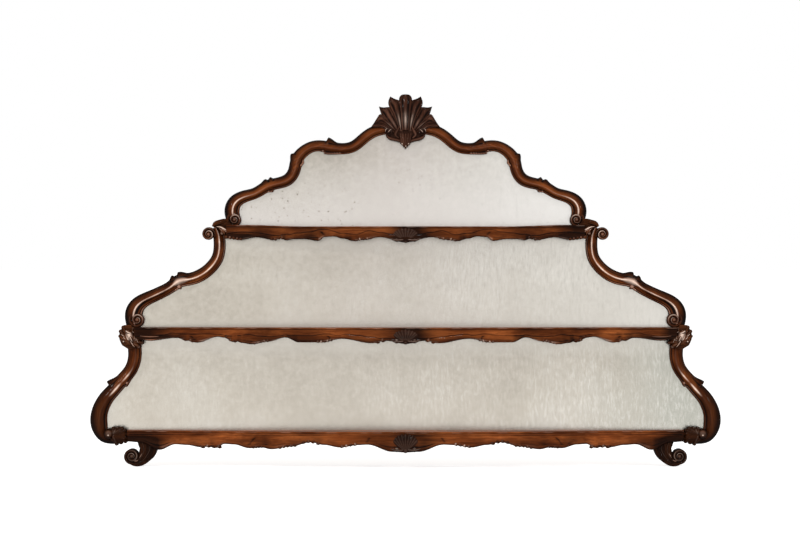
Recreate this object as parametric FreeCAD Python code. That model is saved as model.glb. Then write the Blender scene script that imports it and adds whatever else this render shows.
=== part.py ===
import FreeCAD, Part
import math
import os

from FreeCAD import Vector

# Three-tier mirrored etagere in carved walnut, in millimetres.
# X runs along the shelves, Z is up and the front faces -Y. The origin lies on the surface that the
# feet stand on, in the middle of the width and of the depth. Depths are given as "forward", the
# distance from the flat back, because the back is the plane that everything is built on.

# Levels of the three shelf tops
BOTTOM_SHELF_TOP = 90.0
MIDDLE_SHELF_TOP = 347.0
TOP_SHELF_TOP = 598.0

# Half lengths of the shelves, and the depth of each at its middle and at its ends
BOTTOM_SHELF_HALF = 692.0
MIDDLE_SHELF_HALF = 676.0
TOP_SHELF_HALF = 446.0
BOTTOM_SHELF_DEPTH = 130.0
MIDDLE_SHELF_DEPTH = 120.0
TOP_SHELF_DEPTH = 110.0
SHELF_END_DEPTH = 56.0
SHELF_BOARD = 16.0
SHELF_FRONT_STEPS = 12
BOW_POWER = 1.3

# Carved apron on the front edge of each shelf
APRON_THICKNESS = 22.0
APRON_NOSE = 8.0
APRON_STEP = 3.0
APRON_COVE = 6.0
APRON_LIP = 7.0
APRON_FACETS = 4
GLUE_LINE = 0.2

# Back rails, which carry the shelves and part the mirrors
BACK_RAIL_HEIGHT = 24.0
BACK_RAIL_DEPTH = 22.0
BACK_RAIL_HOUSING = 7.0

# Carved side rails: width and depth of the moulding, and its section as (share of the width
# outward of the centre line, share of the depth)
RAIL_WIDTH = 32.0
RAIL_DEPTH = 34.0
RAIL_SIDE = (0.5, 0.41)
RAIL_SHOULDER = (0.36, 0.8)
RAIL_RIDGE = (0.0, 1.0)
RAIL_BROW = (-0.17, 0.92)
RAIL_QUIRK = (-0.28, 0.68)
RAIL_BEAD = (-0.42, 0.66)
RAIL_BEAD_FOOT = (-0.5, 0.5)
RAIL_CORNER_GAP = 4.0
RAIL_HEAD_GAP = 1.5
RAIL_COVER = 2.0

# Volutes, as the radius of each carved roll and its place from the rail that it ends
BOTTOM_VOLUTE = 27.0
BOTTOM_VOLUTE_OUT = 41.0
BOTTOM_VOLUTE_DROP = 4.0
MIDDLE_VOLUTE = 24.0
MIDDLE_VOLUTE_OUT = 2.0
HEAD_ROUND = 22.0
HEAD_VOLUTE = 17.0
HEAD_OVERHANG = 26.0
TOP_VOLUTE = 20.0
VOLUTE_FLAT = 1.0
VOLUTE_SETBACK = 1.0
VOLUTE_BACK = 0.5

# Section of a volute, as (share of its radius, share of its depth), and the rise of its round eye
VOLUTE_RIM = (1.0, 0.5)
VOLUTE_ROUND = (0.93, 0.78)
VOLUTE_SHOULDER = (0.75, 0.9)
VOLUTE_DISH = (0.36, 0.82)
VOLUTE_BROW = 0.34
VOLUTE_EYE_RISE = 0.12
VOLUTE_EYE_LIMIT = 0.8

# Leaf ears that stand out of the rails where two scrolls meet
EAR_LENGTH = 20.0
EAR_RADIUS = 6.0
EAR_TIP = 1.5

# Mirror plates, backboards and the rebate that holds them
MIRROR_THICKNESS = 4.0
BACKBOARD_THICKNESS = 6.0
BACKBOARD_SETBACK = 2.0
BACKBOARD_LAP = 9.0
REBATE_BITE = 7.0
REBATE_END_BITE = 6.0
REBATE_PLAY = 0.6
CUT_PAST = 5.0
MIRROR_FIRST_KNOT = {"bottom": 4, "middle": 1, "top": 1}

# Leaf caps over the shelf corners, as (outward, below the shelf top, span), and their lobes
BOTTOM_CAP = (17.0, 8.0, 25.0)
MIDDLE_CAP = (13.0, 22.0, 31.0)
TOP_CAP = (13.0, 3.0, 20.0)
CAP_BOSS_SHARE = 0.5
CAP_LOBE = 8.0
CAP_LOBE_ROOT = 5.6
CAP_TURNS = (-110.0, -60.0, -15.0, 30.0, 75.0)

# Shells on the aprons
SHELL_PROUD = 4.0
SHELL_LOBE = 9.0
SHELL_SPREAD = 26.0
SHELL_RAISE = 1.0
SHELL_SIDE_ROOT = 2.0
SHELL_SIDE_SHARE = 0.7
SHELL_SIDE_LOBE = (8.1, 8.5)

# Crest: a fan of flutes behind a boss, two leaves with small volutes, and a drop
CREST_RISE = 82.0
CREST_DEPTH = 44.0
CREST_BOSS = 24.0
CREST_BOSS_DROP = 6.0
CREST_FLUTE_ROOT = 26.0
CREST_FLUTE_ROOT_SHARE = 0.15
CREST_FLUTE_TIP = 14.0
CREST_FLUTES = [(0.0, 0.0, 10.0, 15.0), (39.0, 4.0, 9.0, 14.0), (67.0, 31.0, 9.0, 13.0)]
CREST_VOLUTE = 12.0
CREST_VOLUTE_OUT = 40.0
CREST_VOLUTE_DROP = 11.0
CREST_LEAF_ROOT = 32.0
CREST_LEAF_ROOT_OUT = 38.0
CREST_LEAF_ROOT_SHARE = 0.1
CREST_LEAVES = [(87.0, 30.0, 3.0), (79.0, 24.0, 22.0)]
CREST_LEAF_LOBE = (8.1, 9.0)
CREST_GLASS_GAP = 4.0

# Drops of the crest, as (out and down at the root, out and down at the tip, the two radii)
CREST_DROP_FORWARD = 27.0
CREST_DROP_LEAN = 2.0
CREST_DROPS = [
    (0.0, 10.0, 0.0, 54.0, 12.0, 4.0), (-4.0, 14.0, -14.0, 46.0, 7.0, 3.5), (4.0, 14.0, 14.0, 46.0, 7.0, 3.5)]

# Scroll feet
FOOT_DEPTH = 50.0
FOOT_VOLUTE = 21.0
FOOT_INSET = 8.0
FOOT_NECK = 62.0
FOOT_REST = 16.0
FOOT_LIFT = 2.0
FOOT_ROLL_PROUD = 3.0

# Neck of a foot as (inward of its outer edge, share of its height), and its sole from the inner edge
FOOT_NECK_LINE = [(0.0, 1.0), (3.0, 0.8), (10.0, 0.65)]
FOOT_SOLE_LINE = [(37.0, 0.09), (21.0, 0.26), (8.0, 0.5), (2.0, 0.76), (0.0, 1.0)]

# Dowels and screws
DOWEL_RADIUS = 3.0
DOWEL_HALF = 10.0
DOWEL_PLAY = 0.1
SCREW_RADIUS = 1.6
SCREW_HEAD_RADIUS = 3.4
SCREW_HEAD = 2.0
SCREW_PLAY = 0.15
SHELF_SCREW_LENGTH = 45.0
SHELF_SCREW_SHARES = (-0.6, -0.3, 0.0, 0.3, 0.6)
BACKBOARD_SCREW_LENGTH = 18.0
BACKBOARD_SCREW_KNOTS = {"bottom": (5, 9, 13), "middle": (3, 8, 13), "top": (3, 9, 14)}

DEEPEST_SHELF = max(BOTTOM_SHELF_DEPTH, MIDDLE_SHELF_DEPTH, TOP_SHELF_DEPTH)
BACK_Y = 0.5 * (DEEPEST_SHELF + SHELL_PROUD)
MIRROR_FRONT = BACKBOARD_SETBACK + BACKBOARD_THICKNESS + MIRROR_THICKNESS

# Lower edge of each apron, as (share of the half length, drop below the shelf top)
BOTTOM_SCALLOPS = [
    (0.0, 47.0), (0.137, 28.0), (0.249, 34.5), (0.332, 21.5), (0.466, 40.5), (0.632, 26.0),
    (0.708, 36.5), (0.813, 30.0), (0.889, 44.0), (0.955, 26.0), (1.0, 26.0)]
MIDDLE_SCALLOPS = [
    (0.0, 39.5), (0.07, 32.0), (0.122, 38.0), (0.233, 27.0), (0.34, 36.0), (0.44, 22.5),
    (0.566, 41.0), (0.688, 24.0), (0.766, 38.0), (0.84, 27.0), (0.943, 33.0), (1.0, 30.0)]
TOP_SCALLOPS = [
    (0.0, 39.5), (0.146, 26.0), (0.269, 35.0), (0.387, 23.0), (0.471, 37.5), (0.549, 28.5),
    (0.678, 34.5), (0.8, 25.0), (0.94, 32.0), (1.0, 30.0)]

# Centre line of each side rail on its template, as (outward, up, share of the rail's width) from
# the lower corner that it springs from. The template runs to its upper corner, given as its span.
BOTTOM_RAIL_SPAN = (-19.0, 233.0)
BOTTOM_RAIL = [
    (20.0, -27.0, 0.5), (39.0, -25.0, 0.6), (56.0, -17.0, 0.85), (66.0, 0.0, 1.22),
    (70.0, 20.0, 1.4), (69.0, 40.0, 1.38), (63.0, 60.0, 1.31), (51.5, 80.0, 1.22),
    (34.0, 100.0, 1.15), (15.0, 122.0, 1.12), (-1.0, 140.0, 1.1), (-11.0, 155.0, 1.1),
    (-18.0, 172.0, 1.1), (-20.5, 190.0, 1.1), (-20.0, 210.0, 1.1), (-19.0, 243.0, 1.1)]
MIDDLE_RAIL_SPAN = (-209.0, 251.0)
MIDDLE_RAIL = [
    (0.0, 14.0, 1.2), (4.5, 38.0, 1.32), (-4.0, 54.0, 1.22), (-19.0, 67.0, 1.1),
    (-40.0, 79.0, 1.03), (-66.0, 93.0, 1.0), (-85.0, 104.0, 1.0), (-104.0, 116.0, 1.06),
    (-130.0, 120.0, 1.0), (-155.0, 127.0, 1.0), (-175.0, 139.0, 1.0), (-192.0, 155.0, 1.0),
    (-204.0, 174.0, 1.0), (-209.0, 194.0, 1.0), (-209.5, 213.0, 1.0), (-208.0, 228.0, 0.97)]
TOP_RAIL_SPAN = (-427.0, 248.0)
TOP_RAIL = [
    (0.0, 12.0, 1.05), (7.0, 38.0, 1.16), (1.0, 59.0, 1.09), (-21.0, 76.0, 0.91),
    (-51.0, 86.0, 0.78), (-79.0, 102.0, 0.84), (-103.0, 108.0, 0.88), (-135.0, 119.0, 0.97),
    (-150.0, 142.0, 1.0), (-155.5, 166.0, 1.0), (-171.0, 187.0, 0.91), (-201.0, 201.0, 0.84),
    (-237.0, 198.5, 0.88), (-270.0, 196.0, 0.84), (-295.0, 202.0, 0.84), (-322.0, 222.0, 0.84),
    (-349.0, 240.0, 0.84), (-373.0, 246.0, 0.84), (-400.0, 248.0, 0.84), (-427.0, 248.0, 0.84)]

# Ears, as (knot of the rail, side: 1 outward and -1 inward, lean along the rail)
BOTTOM_EARS = [(7.9, 1, 0.9), (8.7, 1, -0.6)]
MIDDLE_EARS = [(6.5, 1, 0.6), (7.4, 1, -0.4), (6.8, -1, 0.3)]
TOP_EARS = [(5.0, 1, 0.6), (5.8, 1, -0.4), (9.1, 1, 0.4), (12.0, 1, -0.8), (12.0, -1, 0.3)]


def at(x, forward, z):
    """Point of the object from its distance forward of the back."""
    return Vector(x, BACK_Y - forward, z)


def block(x0, x1, forward0, forward1, z0, z1):
    corner = at(min(x0, x1), max(forward0, forward1), min(z0, z1))
    return Part.makeBox(abs(x1 - x0), abs(forward1 - forward0), abs(z1 - z0), corner)


def rod_forward(x, z, radius, forward0, forward1):
    return Part.makeCylinder(radius, forward1 - forward0, at(x, forward0, z), Vector(0, -1, 0))


def mirrored(shape):
    return shape.mirror(Vector(0, 0, 0), Vector(1, 0, 0))


def both_sides(shape):
    return {"right": shape, "left": mirrored(shape)}


def prism(wire, forward0, forward1):
    """Solid between two depths, from a wire drawn in the back plane."""
    face = Part.Face(wire)
    face.translate(Vector(0, -forward0, 0))
    return face.extrude(Vector(0, forward0 - forward1, 0))


def spline(points):
    curve = Part.BSplineCurve()
    curve.interpolate(points)
    return curve


def largest(shape):
    return max(shape.Solids, key=lambda solid: solid.Volume)


class Tier:
    """One shelf with the side rails, mirror and rebate that stand on it."""

    def __init__(self, name, shelf_top, half, depth, scallops):
        self.name = name
        self.top = shelf_top
        self.half = half
        self.depth = depth
        self.scallops = scallops

    def front(self, x):
        """Bowed front edge of the shelf: deepest in the middle and drawn in to the ends."""
        share = min(abs(x) / self.half, 1.0) ** BOW_POWER
        swell = 0.5 * (1.0 + math.cos(math.pi * share))
        return SHELF_END_DEPTH + (self.depth - SHELF_END_DEPTH) * swell

    def drop(self, x):
        """Depth of the scalloped apron below the shelf top."""
        share = min(abs(x) / self.half, 1.0)
        for (share0, drop0), (share1, drop1) in zip(self.scallops, self.scallops[1:]):
            if share <= share1:
                turn = math.pi * (share - share0) / (share1 - share0)
                return drop0 + (drop1 - drop0) * 0.5 * (1.0 - math.cos(turn))
        return self.scallops[-1][1]


BOTTOM = Tier("bottom", BOTTOM_SHELF_TOP, BOTTOM_SHELF_HALF, BOTTOM_SHELF_DEPTH, BOTTOM_SCALLOPS)
MIDDLE = Tier("middle", MIDDLE_SHELF_TOP, MIDDLE_SHELF_HALF, MIDDLE_SHELF_DEPTH, MIDDLE_SCALLOPS)
TOP = Tier("top", TOP_SHELF_TOP, TOP_SHELF_HALF, TOP_SHELF_DEPTH, TOP_SCALLOPS)
TIERS = [BOTTOM, MIDDLE, TOP]
SHELVES = {tier.name: tier for tier in TIERS}


class Rail:
    """A side rail: its template stretched between the two corners that it joins."""

    def __init__(self, template, span, lower, upper):
        stretch = (upper[1] - lower[1]) / span[1]
        lean = (upper[0] - lower[0] - span[0]) / span[1]
        self.knots = []
        for out, up, share in template:
            point = Vector(lower[0] + out + lean * up, 0, lower[1] + stretch * up)
            self.knots.append((point, RAIL_WIDTH * share))
        self.curve = spline([point for point, _ in self.knots])
        self.places = self.curve.getKnots()

    def station(self, place):
        """Point, outward normal and width of the rail at a knot, or between two of them."""
        first = min(int(place), len(self.places) - 2)
        share = place - first
        value = self.places[first] + share * (self.places[first + 1] - self.places[first])
        tangent = self.curve.tangent(value)[0]
        width = self.knots[first][1] + share * (self.knots[first + 1][1] - self.knots[first][1])
        return self.curve.value(value), Vector(tangent.z, 0, -tangent.x), width

    def inner_edge(self, knot, beyond):
        """Point `beyond` the inner edge of the rail, on its way outward."""
        point, normal, width = self.station(knot)
        return point + normal * (beyond - 0.5 * width)


# Corners that the side rails spring from and end at, on the right-hand side
BOTTOM_CORNER = (BOTTOM.half + RAIL_CORNER_GAP, BOTTOM.top)
BOTTOM_RAIL_END = (MIDDLE.half, MIDDLE.top - BACK_RAIL_HEIGHT)
MIDDLE_CORNER = (MIDDLE.half - RAIL_CORNER_GAP, MIDDLE.top)
MIDDLE_RAIL_END = (TOP.half + 0.5 * RAIL_WIDTH + RAIL_HEAD_GAP, TOP.top)
TOP_CORNER = (TOP.half - TOP_VOLUTE + VOLUTE_FLAT, TOP.top)
CREST_CENTRE = (0.0, TOP.top + TOP_RAIL_SPAN[1])
BOTTOM_VOLUTE_X = BOTTOM_CORNER[0] + BOTTOM_VOLUTE_OUT
MIDDLE_VOLUTE_X = MIDDLE_CORNER[0] + MIDDLE_VOLUTE_OUT

RAILS = {
    "bottom": Rail(BOTTOM_RAIL, BOTTOM_RAIL_SPAN, BOTTOM_CORNER, BOTTOM_RAIL_END),
    "middle": Rail(MIDDLE_RAIL, MIDDLE_RAIL_SPAN, MIDDLE_CORNER, MIDDLE_RAIL_END),
    "top": Rail(TOP_RAIL, TOP_RAIL_SPAN, TOP_CORNER, CREST_CENTRE),
}


def rail_section(point, normal, width):
    """Moulding across a rail: plain outer side, rounded ridge, quirk and inner bead."""
    def place(across, depth):
        spot = point + normal * (across * width)
        return at(spot.x, depth * RAIL_DEPTH, spot.z)

    outer_foot = place(RAIL_SIDE[0], 0.0)
    outer_top = place(*RAIL_SIDE)
    ridge = place(*RAIL_RIDGE)
    quirk = place(*RAIL_QUIRK)
    bead_foot = place(*RAIL_BEAD_FOOT)
    inner_foot = place(RAIL_BEAD_FOOT[0], 0.0)
    return Part.Wire([
        Part.makeLine(inner_foot, outer_foot),
        Part.makeLine(outer_foot, outer_top),
        Part.Arc(outer_top, place(*RAIL_SHOULDER), ridge).toShape(),
        Part.Arc(ridge, place(*RAIL_BROW), quirk).toShape(),
        Part.Arc(quirk, place(*RAIL_BEAD), bead_foot).toShape(),
        Part.makeLine(bead_foot, inner_foot)])


def rail_body(rail):
    sections = [rail_section(*rail.station(knot)) for knot in range(len(rail.knots))]
    return Part.makeLoft(sections, True, False)


def volute(x, z, radius, depth):
    """Round roll with a rolled rim, a dished face and a raised eye."""
    def place(across, along):
        return at(x + across * radius, along * depth, z)

    brow_radius = VOLUTE_BROW * radius
    rise = min(VOLUTE_EYE_RISE * depth, VOLUTE_EYE_LIMIT * brow_radius)
    ball = (brow_radius ** 2 + rise ** 2) / (2.0 * rise)
    half_turn = 0.5 * math.asin(brow_radius / ball)
    cheek = at(x + ball * math.sin(half_turn), depth - ball * (1.0 - math.cos(half_turn)), z)
    brow = at(x + brow_radius, depth - rise, z)
    eye = at(x, depth, z)
    centre = at(x, VOLUTE_BACK, z)
    edge = at(x + radius, VOLUTE_BACK, z)
    rim = place(*VOLUTE_RIM)
    shoulder = place(*VOLUTE_SHOULDER)
    dish = place(*VOLUTE_DISH)
    edges = [
        Part.makeLine(centre, edge),
        Part.makeLine(edge, rim),
        Part.Arc(rim, place(*VOLUTE_ROUND), shoulder).toShape(),
        Part.makeLine(shoulder, dish),
        Part.makeLine(dish, brow),
        Part.Arc(brow, cheek, eye).toShape(),
        Part.makeLine(eye, centre)]
    return Part.Face(Part.Wire(edges)).revolve(centre, Vector(0, 1, 0), 360.0)


def ear(rail, knot, side, lean):
    """Small pointed leaf that springs from the edge of a rail."""
    point, normal, width = rail.station(knot)
    along = Vector(-normal.z, 0, normal.x)
    direction = normal * side + along * lean
    direction.normalize()
    root = point + normal * (side * (0.5 * width - EAR_RADIUS))
    start = at(root.x, 0.5 * RAIL_DEPTH, root.z)
    return Part.makeCone(EAR_RADIUS, EAR_TIP, EAR_LENGTH, start, direction)


def outline(tier_name, side, end):
    """Closed wire of a mirror: `side` past the rails' inner edges, `end` past the shelf lines."""
    rail = RAILS[tier_name]
    last = len(rail.knots) - 1
    first = MIRROR_FIRST_KNOT[tier_name]
    low = SHELVES[tier_name].top - end
    if tier_name == "top":
        points = [rail.inner_edge(knot, side) for knot in range(first, last + 1)]
        points[-1].x = 0.0
    else:
        above = MIDDLE if tier_name == "bottom" else TOP
        high = above.top - BACK_RAIL_HEIGHT + end
        points = [rail.inner_edge(knot, side) for knot in range(first, last)]
    back = [Vector(point.x, BACK_Y, point.z) for point in points]
    foot = Vector(back[0].x, BACK_Y, low)
    right = [Part.makeLine(foot, back[0]), spline(back).toShape()]
    if tier_name != "top":
        head = Vector(back[-1].x, BACK_Y, high)
        right.append(Part.makeLine(back[-1], head))
    left = [mirrored(edge) for edge in right]
    edges = right + left + [Part.makeLine(foot, Vector(-foot.x, BACK_Y, low))]
    if tier_name != "top":
        edges.append(Part.makeLine(head, Vector(-head.x, BACK_Y, high)))
    return Part.Wire(Part.__sortEdges__(edges))


def plate(tier_name, side, end, forward0, forward1):
    return prism(outline(tier_name, side, end), forward0, forward1)


def mirror_plate(tier_name):
    glass_back = BACKBOARD_SETBACK + BACKBOARD_THICKNESS
    return plate(tier_name, REBATE_BITE, REBATE_END_BITE, glass_back, MIRROR_FRONT)


def backboard(tier_name):
    glass_back = BACKBOARD_SETBACK + BACKBOARD_THICKNESS
    lap = REBATE_BITE + BACKBOARD_LAP
    return plate(tier_name, lap, REBATE_END_BITE, BACKBOARD_SETBACK, glass_back)


def rebate(tier_name):
    """Stepped recess, open at the back, for a mirror and the wider backboard behind it."""
    glass_back = BACKBOARD_SETBACK + BACKBOARD_THICKNESS
    end = REBATE_END_BITE + REBATE_PLAY
    lap = REBATE_BITE + BACKBOARD_LAP + REBATE_PLAY
    glass = plate(tier_name, REBATE_BITE + REBATE_PLAY, end, -CUT_PAST, MIRROR_FRONT)
    return glass.fuse(plate(tier_name, lap, end, -CUT_PAST, glass_back))


def shelf_board(tier):
    """Board between the back rail and the apron, following the bowed front."""
    setback = APRON_THICKNESS + GLUE_LINE
    front = []
    for step in range(SHELF_FRONT_STEPS + 1):
        x = tier.half * (2.0 * step / SHELF_FRONT_STEPS - 1.0)
        front.append(at(x, tier.front(x) - setback, tier.top - SHELF_BOARD))
    back_left = at(-tier.half, BACK_RAIL_DEPTH, tier.top - SHELF_BOARD)
    back_right = at(tier.half, BACK_RAIL_DEPTH, tier.top - SHELF_BOARD)
    wire = Part.Wire([
        Part.makeLine(back_left, front[0]),
        spline(front).toShape(),
        Part.makeLine(front[-1], back_right),
        Part.makeLine(back_right, back_left)])
    return Part.Face(wire).extrude(Vector(0, 0, SHELF_BOARD))


def facets(start, peak, end, count):
    """Points of a bow from start through its peak to the end, as chords of the round."""
    control = peak * 2.0 - (start + end) * 0.5
    points = []
    for step in range(1, count + 1):
        share = step / count
        rest = 1.0 - share
        points.append(start * rest * rest + control * 2.0 * share * rest + end * share * share)
    return points


def apron_section(tier, x):
    """Apron moulding: rounded nose, step, cove and a rolled lip along the scalloped edge."""
    front = tier.front(x)
    back = front - APRON_THICKNESS
    low = tier.top - tier.drop(x)
    nose = 0.5 * APRON_NOSE
    step = front - APRON_STEP
    cove_top = tier.top - APRON_NOSE
    lip_top = low + APRON_LIP
    lip = front - 0.5 * APRON_STEP
    nose_top = at(x, front - nose, tier.top)
    nose_low = at(x, front - nose, cove_top)
    cove_start = at(x, step - nose, cove_top)
    cove_mid = at(x, step - APRON_COVE, 0.5 * (cove_top + lip_top))
    cove_end = at(x, lip - nose, lip_top)
    lip_mid = at(x, lip, low + 0.5 * APRON_LIP)
    lip_low = at(x, lip - nose, low)
    points = [at(x, back, tier.top), nose_top]
    points += facets(nose_top, at(x, front, tier.top - nose), nose_low, APRON_FACETS)
    points.append(cove_start)
    points += facets(cove_start, cove_mid, cove_end, APRON_FACETS)
    points += facets(cove_end, lip_mid, lip_low, APRON_FACETS)
    points.append(at(x, back, low))
    return Part.makePolygon(points + points[:1])


def apron(tier):
    shares = []
    for (share0, _), (share1, _) in zip(tier.scallops, tier.scallops[1:]):
        shares += [share0, 0.5 * (share0 + share1)]
    shares.append(1.0)
    stations = [-share for share in reversed(shares[1:])] + shares
    return Part.makeLoft([apron_section(tier, tier.half * share) for share in stations], True, False)


def lobe(start, tip, start_radius, tip_radius):
    """Carved lobe: a round taper from start to tip with a domed end."""
    axis = tip - start
    axis.normalize()
    across = axis.cross(Vector(0, 0, 1) if abs(axis.z) < 0.9 else Vector(1, 0, 0))
    across.normalize()
    dome = tip - axis * tip_radius
    shoulder = dome + (axis + across) * (tip_radius * math.sqrt(0.5))
    edges = [
        Part.makeLine(start, start + across * start_radius),
        Part.makeLine(start + across * start_radius, dome + across * tip_radius),
        Part.Arc(dome + across * tip_radius, shoulder, tip).toShape(),
        Part.makeLine(tip, start)]
    return Part.Face(Part.Wire(edges)).revolve(start, axis, 360.0)


def back_rail_half(tier):
    """Half length of a back rail: housed in the rails that it meets, or covering their ends."""
    if tier is BOTTOM:
        return BOTTOM_VOLUTE_X - BOTTOM_VOLUTE + BACK_RAIL_HOUSING
    if tier is MIDDLE:
        return BOTTOM_RAIL_END[0] + 0.5 * RAIL_WIDTH * BOTTOM_RAIL[-1][2] + RAIL_COVER
    return MIDDLE_RAIL_END[0] - 0.5 * RAIL_WIDTH + BACK_RAIL_HOUSING


def back_rail(tier, past=0.0):
    """Back rail, or the housing for it when it runs past the back."""
    half = back_rail_half(tier)
    return block(-half, half, -past, BACK_RAIL_DEPTH, tier.top - BACK_RAIL_HEIGHT, tier.top)


def side_rail(name):
    """Right-hand rail with its volutes and ears, trimmed to the pieces that it stands between."""
    rail = RAILS[name]
    far = 2.0 * BOTTOM.half
    if name == "bottom":
        rolls = [(BOTTOM_VOLUTE_X, BOTTOM.top - BOTTOM_VOLUTE_DROP, BOTTOM_VOLUTE)]
        ears = BOTTOM_EARS
        trims = [block(0.0, far, -far, far, BOTTOM_RAIL_END[1], far)]
    elif name == "middle":
        head_x = MIDDLE_RAIL_END[0]
        rolls = [
            (MIDDLE_VOLUTE_X, MIDDLE.top + MIDDLE_VOLUTE - VOLUTE_FLAT, MIDDLE_VOLUTE),
            (head_x + HEAD_ROUND - 0.5 * RAIL_WIDTH, TOP.top - HEAD_ROUND, HEAD_ROUND),
            (head_x + HEAD_OVERHANG, TOP.top - HEAD_VOLUTE, HEAD_VOLUTE)]
        ears = MIDDLE_EARS
        trims = [block(0.0, far, -far, far, -far, MIDDLE.top)]
    else:
        rolls = [(TOP_CORNER[0], TOP.top + TOP_VOLUTE - VOLUTE_FLAT, TOP_VOLUTE)]
        ears = TOP_EARS
        trims = [block(0.0, far, -far, far, -far, TOP.top), block(-far, 0.0, -far, far, -far, far)]
    shape = rail_body(rail)
    for x, z, radius in rolls:
        shape = shape.fuse(volute(x, z, radius, RAIL_DEPTH - VOLUTE_SETBACK))
    for knot, side, lean in ears:
        shape = shape.fuse(ear(rail, knot, side, lean))
    for trim in trims:
        shape = shape.cut(trim)
    return shape


def leaf_cap(tier, cap):
    """Acanthus cap over a right-hand shelf corner: a boss with lobes that fan outward."""
    out, below, span = cap
    x = tier.half + out
    z = tier.top - below
    seat = SHELF_END_DEPTH - CAP_LOBE
    shape = rod_forward(x, z, CAP_BOSS_SHARE * span, BACK_RAIL_DEPTH, SHELF_END_DEPTH)
    for turn in CAP_TURNS:
        angle = math.radians(turn)
        tip = at(x + span * math.cos(angle), seat, z + span * math.sin(angle))
        shape = shape.fuse(lobe(at(x, seat, z), tip, CAP_LOBE_ROOT, CAP_LOBE))
    return shape


def apron_shell(tier):
    """Fluted shell on the middle of an apron, its flutes fanning down to the lowest lobe."""
    root_z = tier.top - APRON_NOSE - SHELL_LOBE
    seat = tier.depth + SHELL_PROUD - SHELL_LOBE
    length = tier.drop(0.0) - APRON_NOSE - SHELL_LOBE
    shape = lobe(at(0, seat, root_z + SHELL_RAISE), at(0, seat, root_z - length), SHELL_LOBE, SHELL_LOBE)
    for side in (-1.0, 1.0):
        root = at(side * SHELL_SIDE_ROOT, seat, root_z)
        tip = at(side * SHELL_SPREAD, seat, root_z - SHELL_SIDE_SHARE * length)
        shape = shape.fuse(lobe(root, tip, *SHELL_SIDE_LOBE))
    return shape


def crest_point(x, forward, rise):
    return at(x, forward, CREST_CENTRE[1] + rise)


def clear_of_glass(shape):
    """Cut away what of a crest piece would lie in the rebate of the top mirror."""
    far = 2.0 * BOTTOM.half
    level = CREST_CENTRE[1] + 0.5 * RAIL_WIDTH * TOP_RAIL[-1][2]
    return shape.cut(block(-far, far, -far, MIRROR_FRONT + CREST_GLASS_GAP, 0.0, level))


def crest_shell():
    """Fan of flutes behind a round boss, its back cut flat."""
    far = 2.0 * BOTTOM.half
    shape = volute(0.0, CREST_CENTRE[1] - CREST_BOSS_DROP, CREST_BOSS, CREST_DEPTH)
    for out, below, start_radius, tip_radius in CREST_FLUTES:
        for side in ((1.0, -1.0) if out else (1.0,)):
            start = crest_point(CREST_FLUTE_ROOT_SHARE * side * out, CREST_FLUTE_ROOT, 0.0)
            tip = crest_point(side * out, CREST_FLUTE_TIP, CREST_RISE - below)
            shape = shape.fuse(lobe(start, tip, start_radius, tip_radius))
    return clear_of_glass(shape.cut(block(-far, far, -far, 0.0, 0.0, far)))


def crest_leaf():
    """Right-hand leaf that runs from the crest's small volute along the rail."""
    level = CREST_CENTRE[1] - CREST_VOLUTE_DROP
    shape = volute(CREST_VOLUTE_OUT, level, CREST_VOLUTE, CREST_DEPTH - VOLUTE_SETBACK)
    for out, forward, rise in CREST_LEAVES:
        start = crest_point(CREST_LEAF_ROOT_OUT, CREST_LEAF_ROOT, CREST_LEAF_ROOT_SHARE * rise)
        tip = crest_point(out, forward, rise)
        shape = shape.fuse(lobe(start, tip, *CREST_LEAF_LOBE))
    return clear_of_glass(shape)


def crest_drop():
    """Pointed drop under the boss of the crest, between two lesser ones."""
    lobes = []
    for root_out, root_down, tip_out, tip_down, root_radius, tip_radius in CREST_DROPS:
        root = crest_point(root_out, CREST_DROP_FORWARD, -root_down)
        tip = crest_point(tip_out, CREST_DROP_FORWARD - CREST_DROP_LEAN, -tip_down)
        lobes.append(lobe(root, tip, root_radius, tip_radius))
    return lobes[0].fuse(lobes[1]).fuse(lobes[2])


def foot():
    """Right-hand scroll foot: a neck that sweeps down and outward into a roll."""
    roll_x = BOTTOM_SHELF_HALF - FOOT_INSET
    top = BOTTOM.top - SHELF_BOARD
    outer = roll_x - FOOT_INSET
    inner = outer - FOOT_NECK
    neck_points = [Vector(outer - inward, BACK_Y, share * top) for inward, share in FOOT_NECK_LINE]
    sole_points = [Vector(roll_x - FOOT_REST, BACK_Y, 0.0)]
    sole_points += [Vector(inner + outward, BACK_Y, share * top) for outward, share in FOOT_SOLE_LINE]
    eye = Vector(roll_x, BACK_Y, FOOT_VOLUTE + FOOT_LIFT)
    rest = Vector(roll_x, BACK_Y, 0.0)
    wire = Part.Wire([
        spline(neck_points).toShape(),
        Part.makeLine(neck_points[-1], eye),
        Part.makeLine(eye, rest),
        Part.makeLine(rest, sole_points[0]),
        spline(sole_points).toShape(),
        Part.makeLine(sole_points[-1], neck_points[0])])
    roll = volute(eye.x, eye.z, FOOT_VOLUTE, FOOT_DEPTH)
    return prism(wire, 0.0, FOOT_DEPTH - FOOT_ROLL_PROUD).fuse(roll)


def upright(x, forward, z, radius, half):
    return Part.makeCylinder(radius, 2.0 * half, at(x, forward, z - half))


def rail_dowels(radius, half):
    """Dowels between the side rails and the back rails, and one where the top rails meet."""
    forward = 0.5 * (MIRROR_FRONT + BACK_RAIL_DEPTH)
    joints = [
        (TOP_CORNER[0], TOP.top),
        (MIDDLE_VOLUTE_X, MIDDLE.top),
        (BOTTOM_RAIL_END[0], BOTTOM_RAIL_END[1])]
    dowels = [upright(side * x, forward, z, radius, half) for x, z in joints for side in (1.0, -1.0)]
    start = at(-half, forward, CREST_CENTRE[1])
    dowels.append(Part.makeCylinder(radius, 2.0 * half, start, Vector(1, 0, 0)))
    return Part.makeCompound(dowels)


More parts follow.
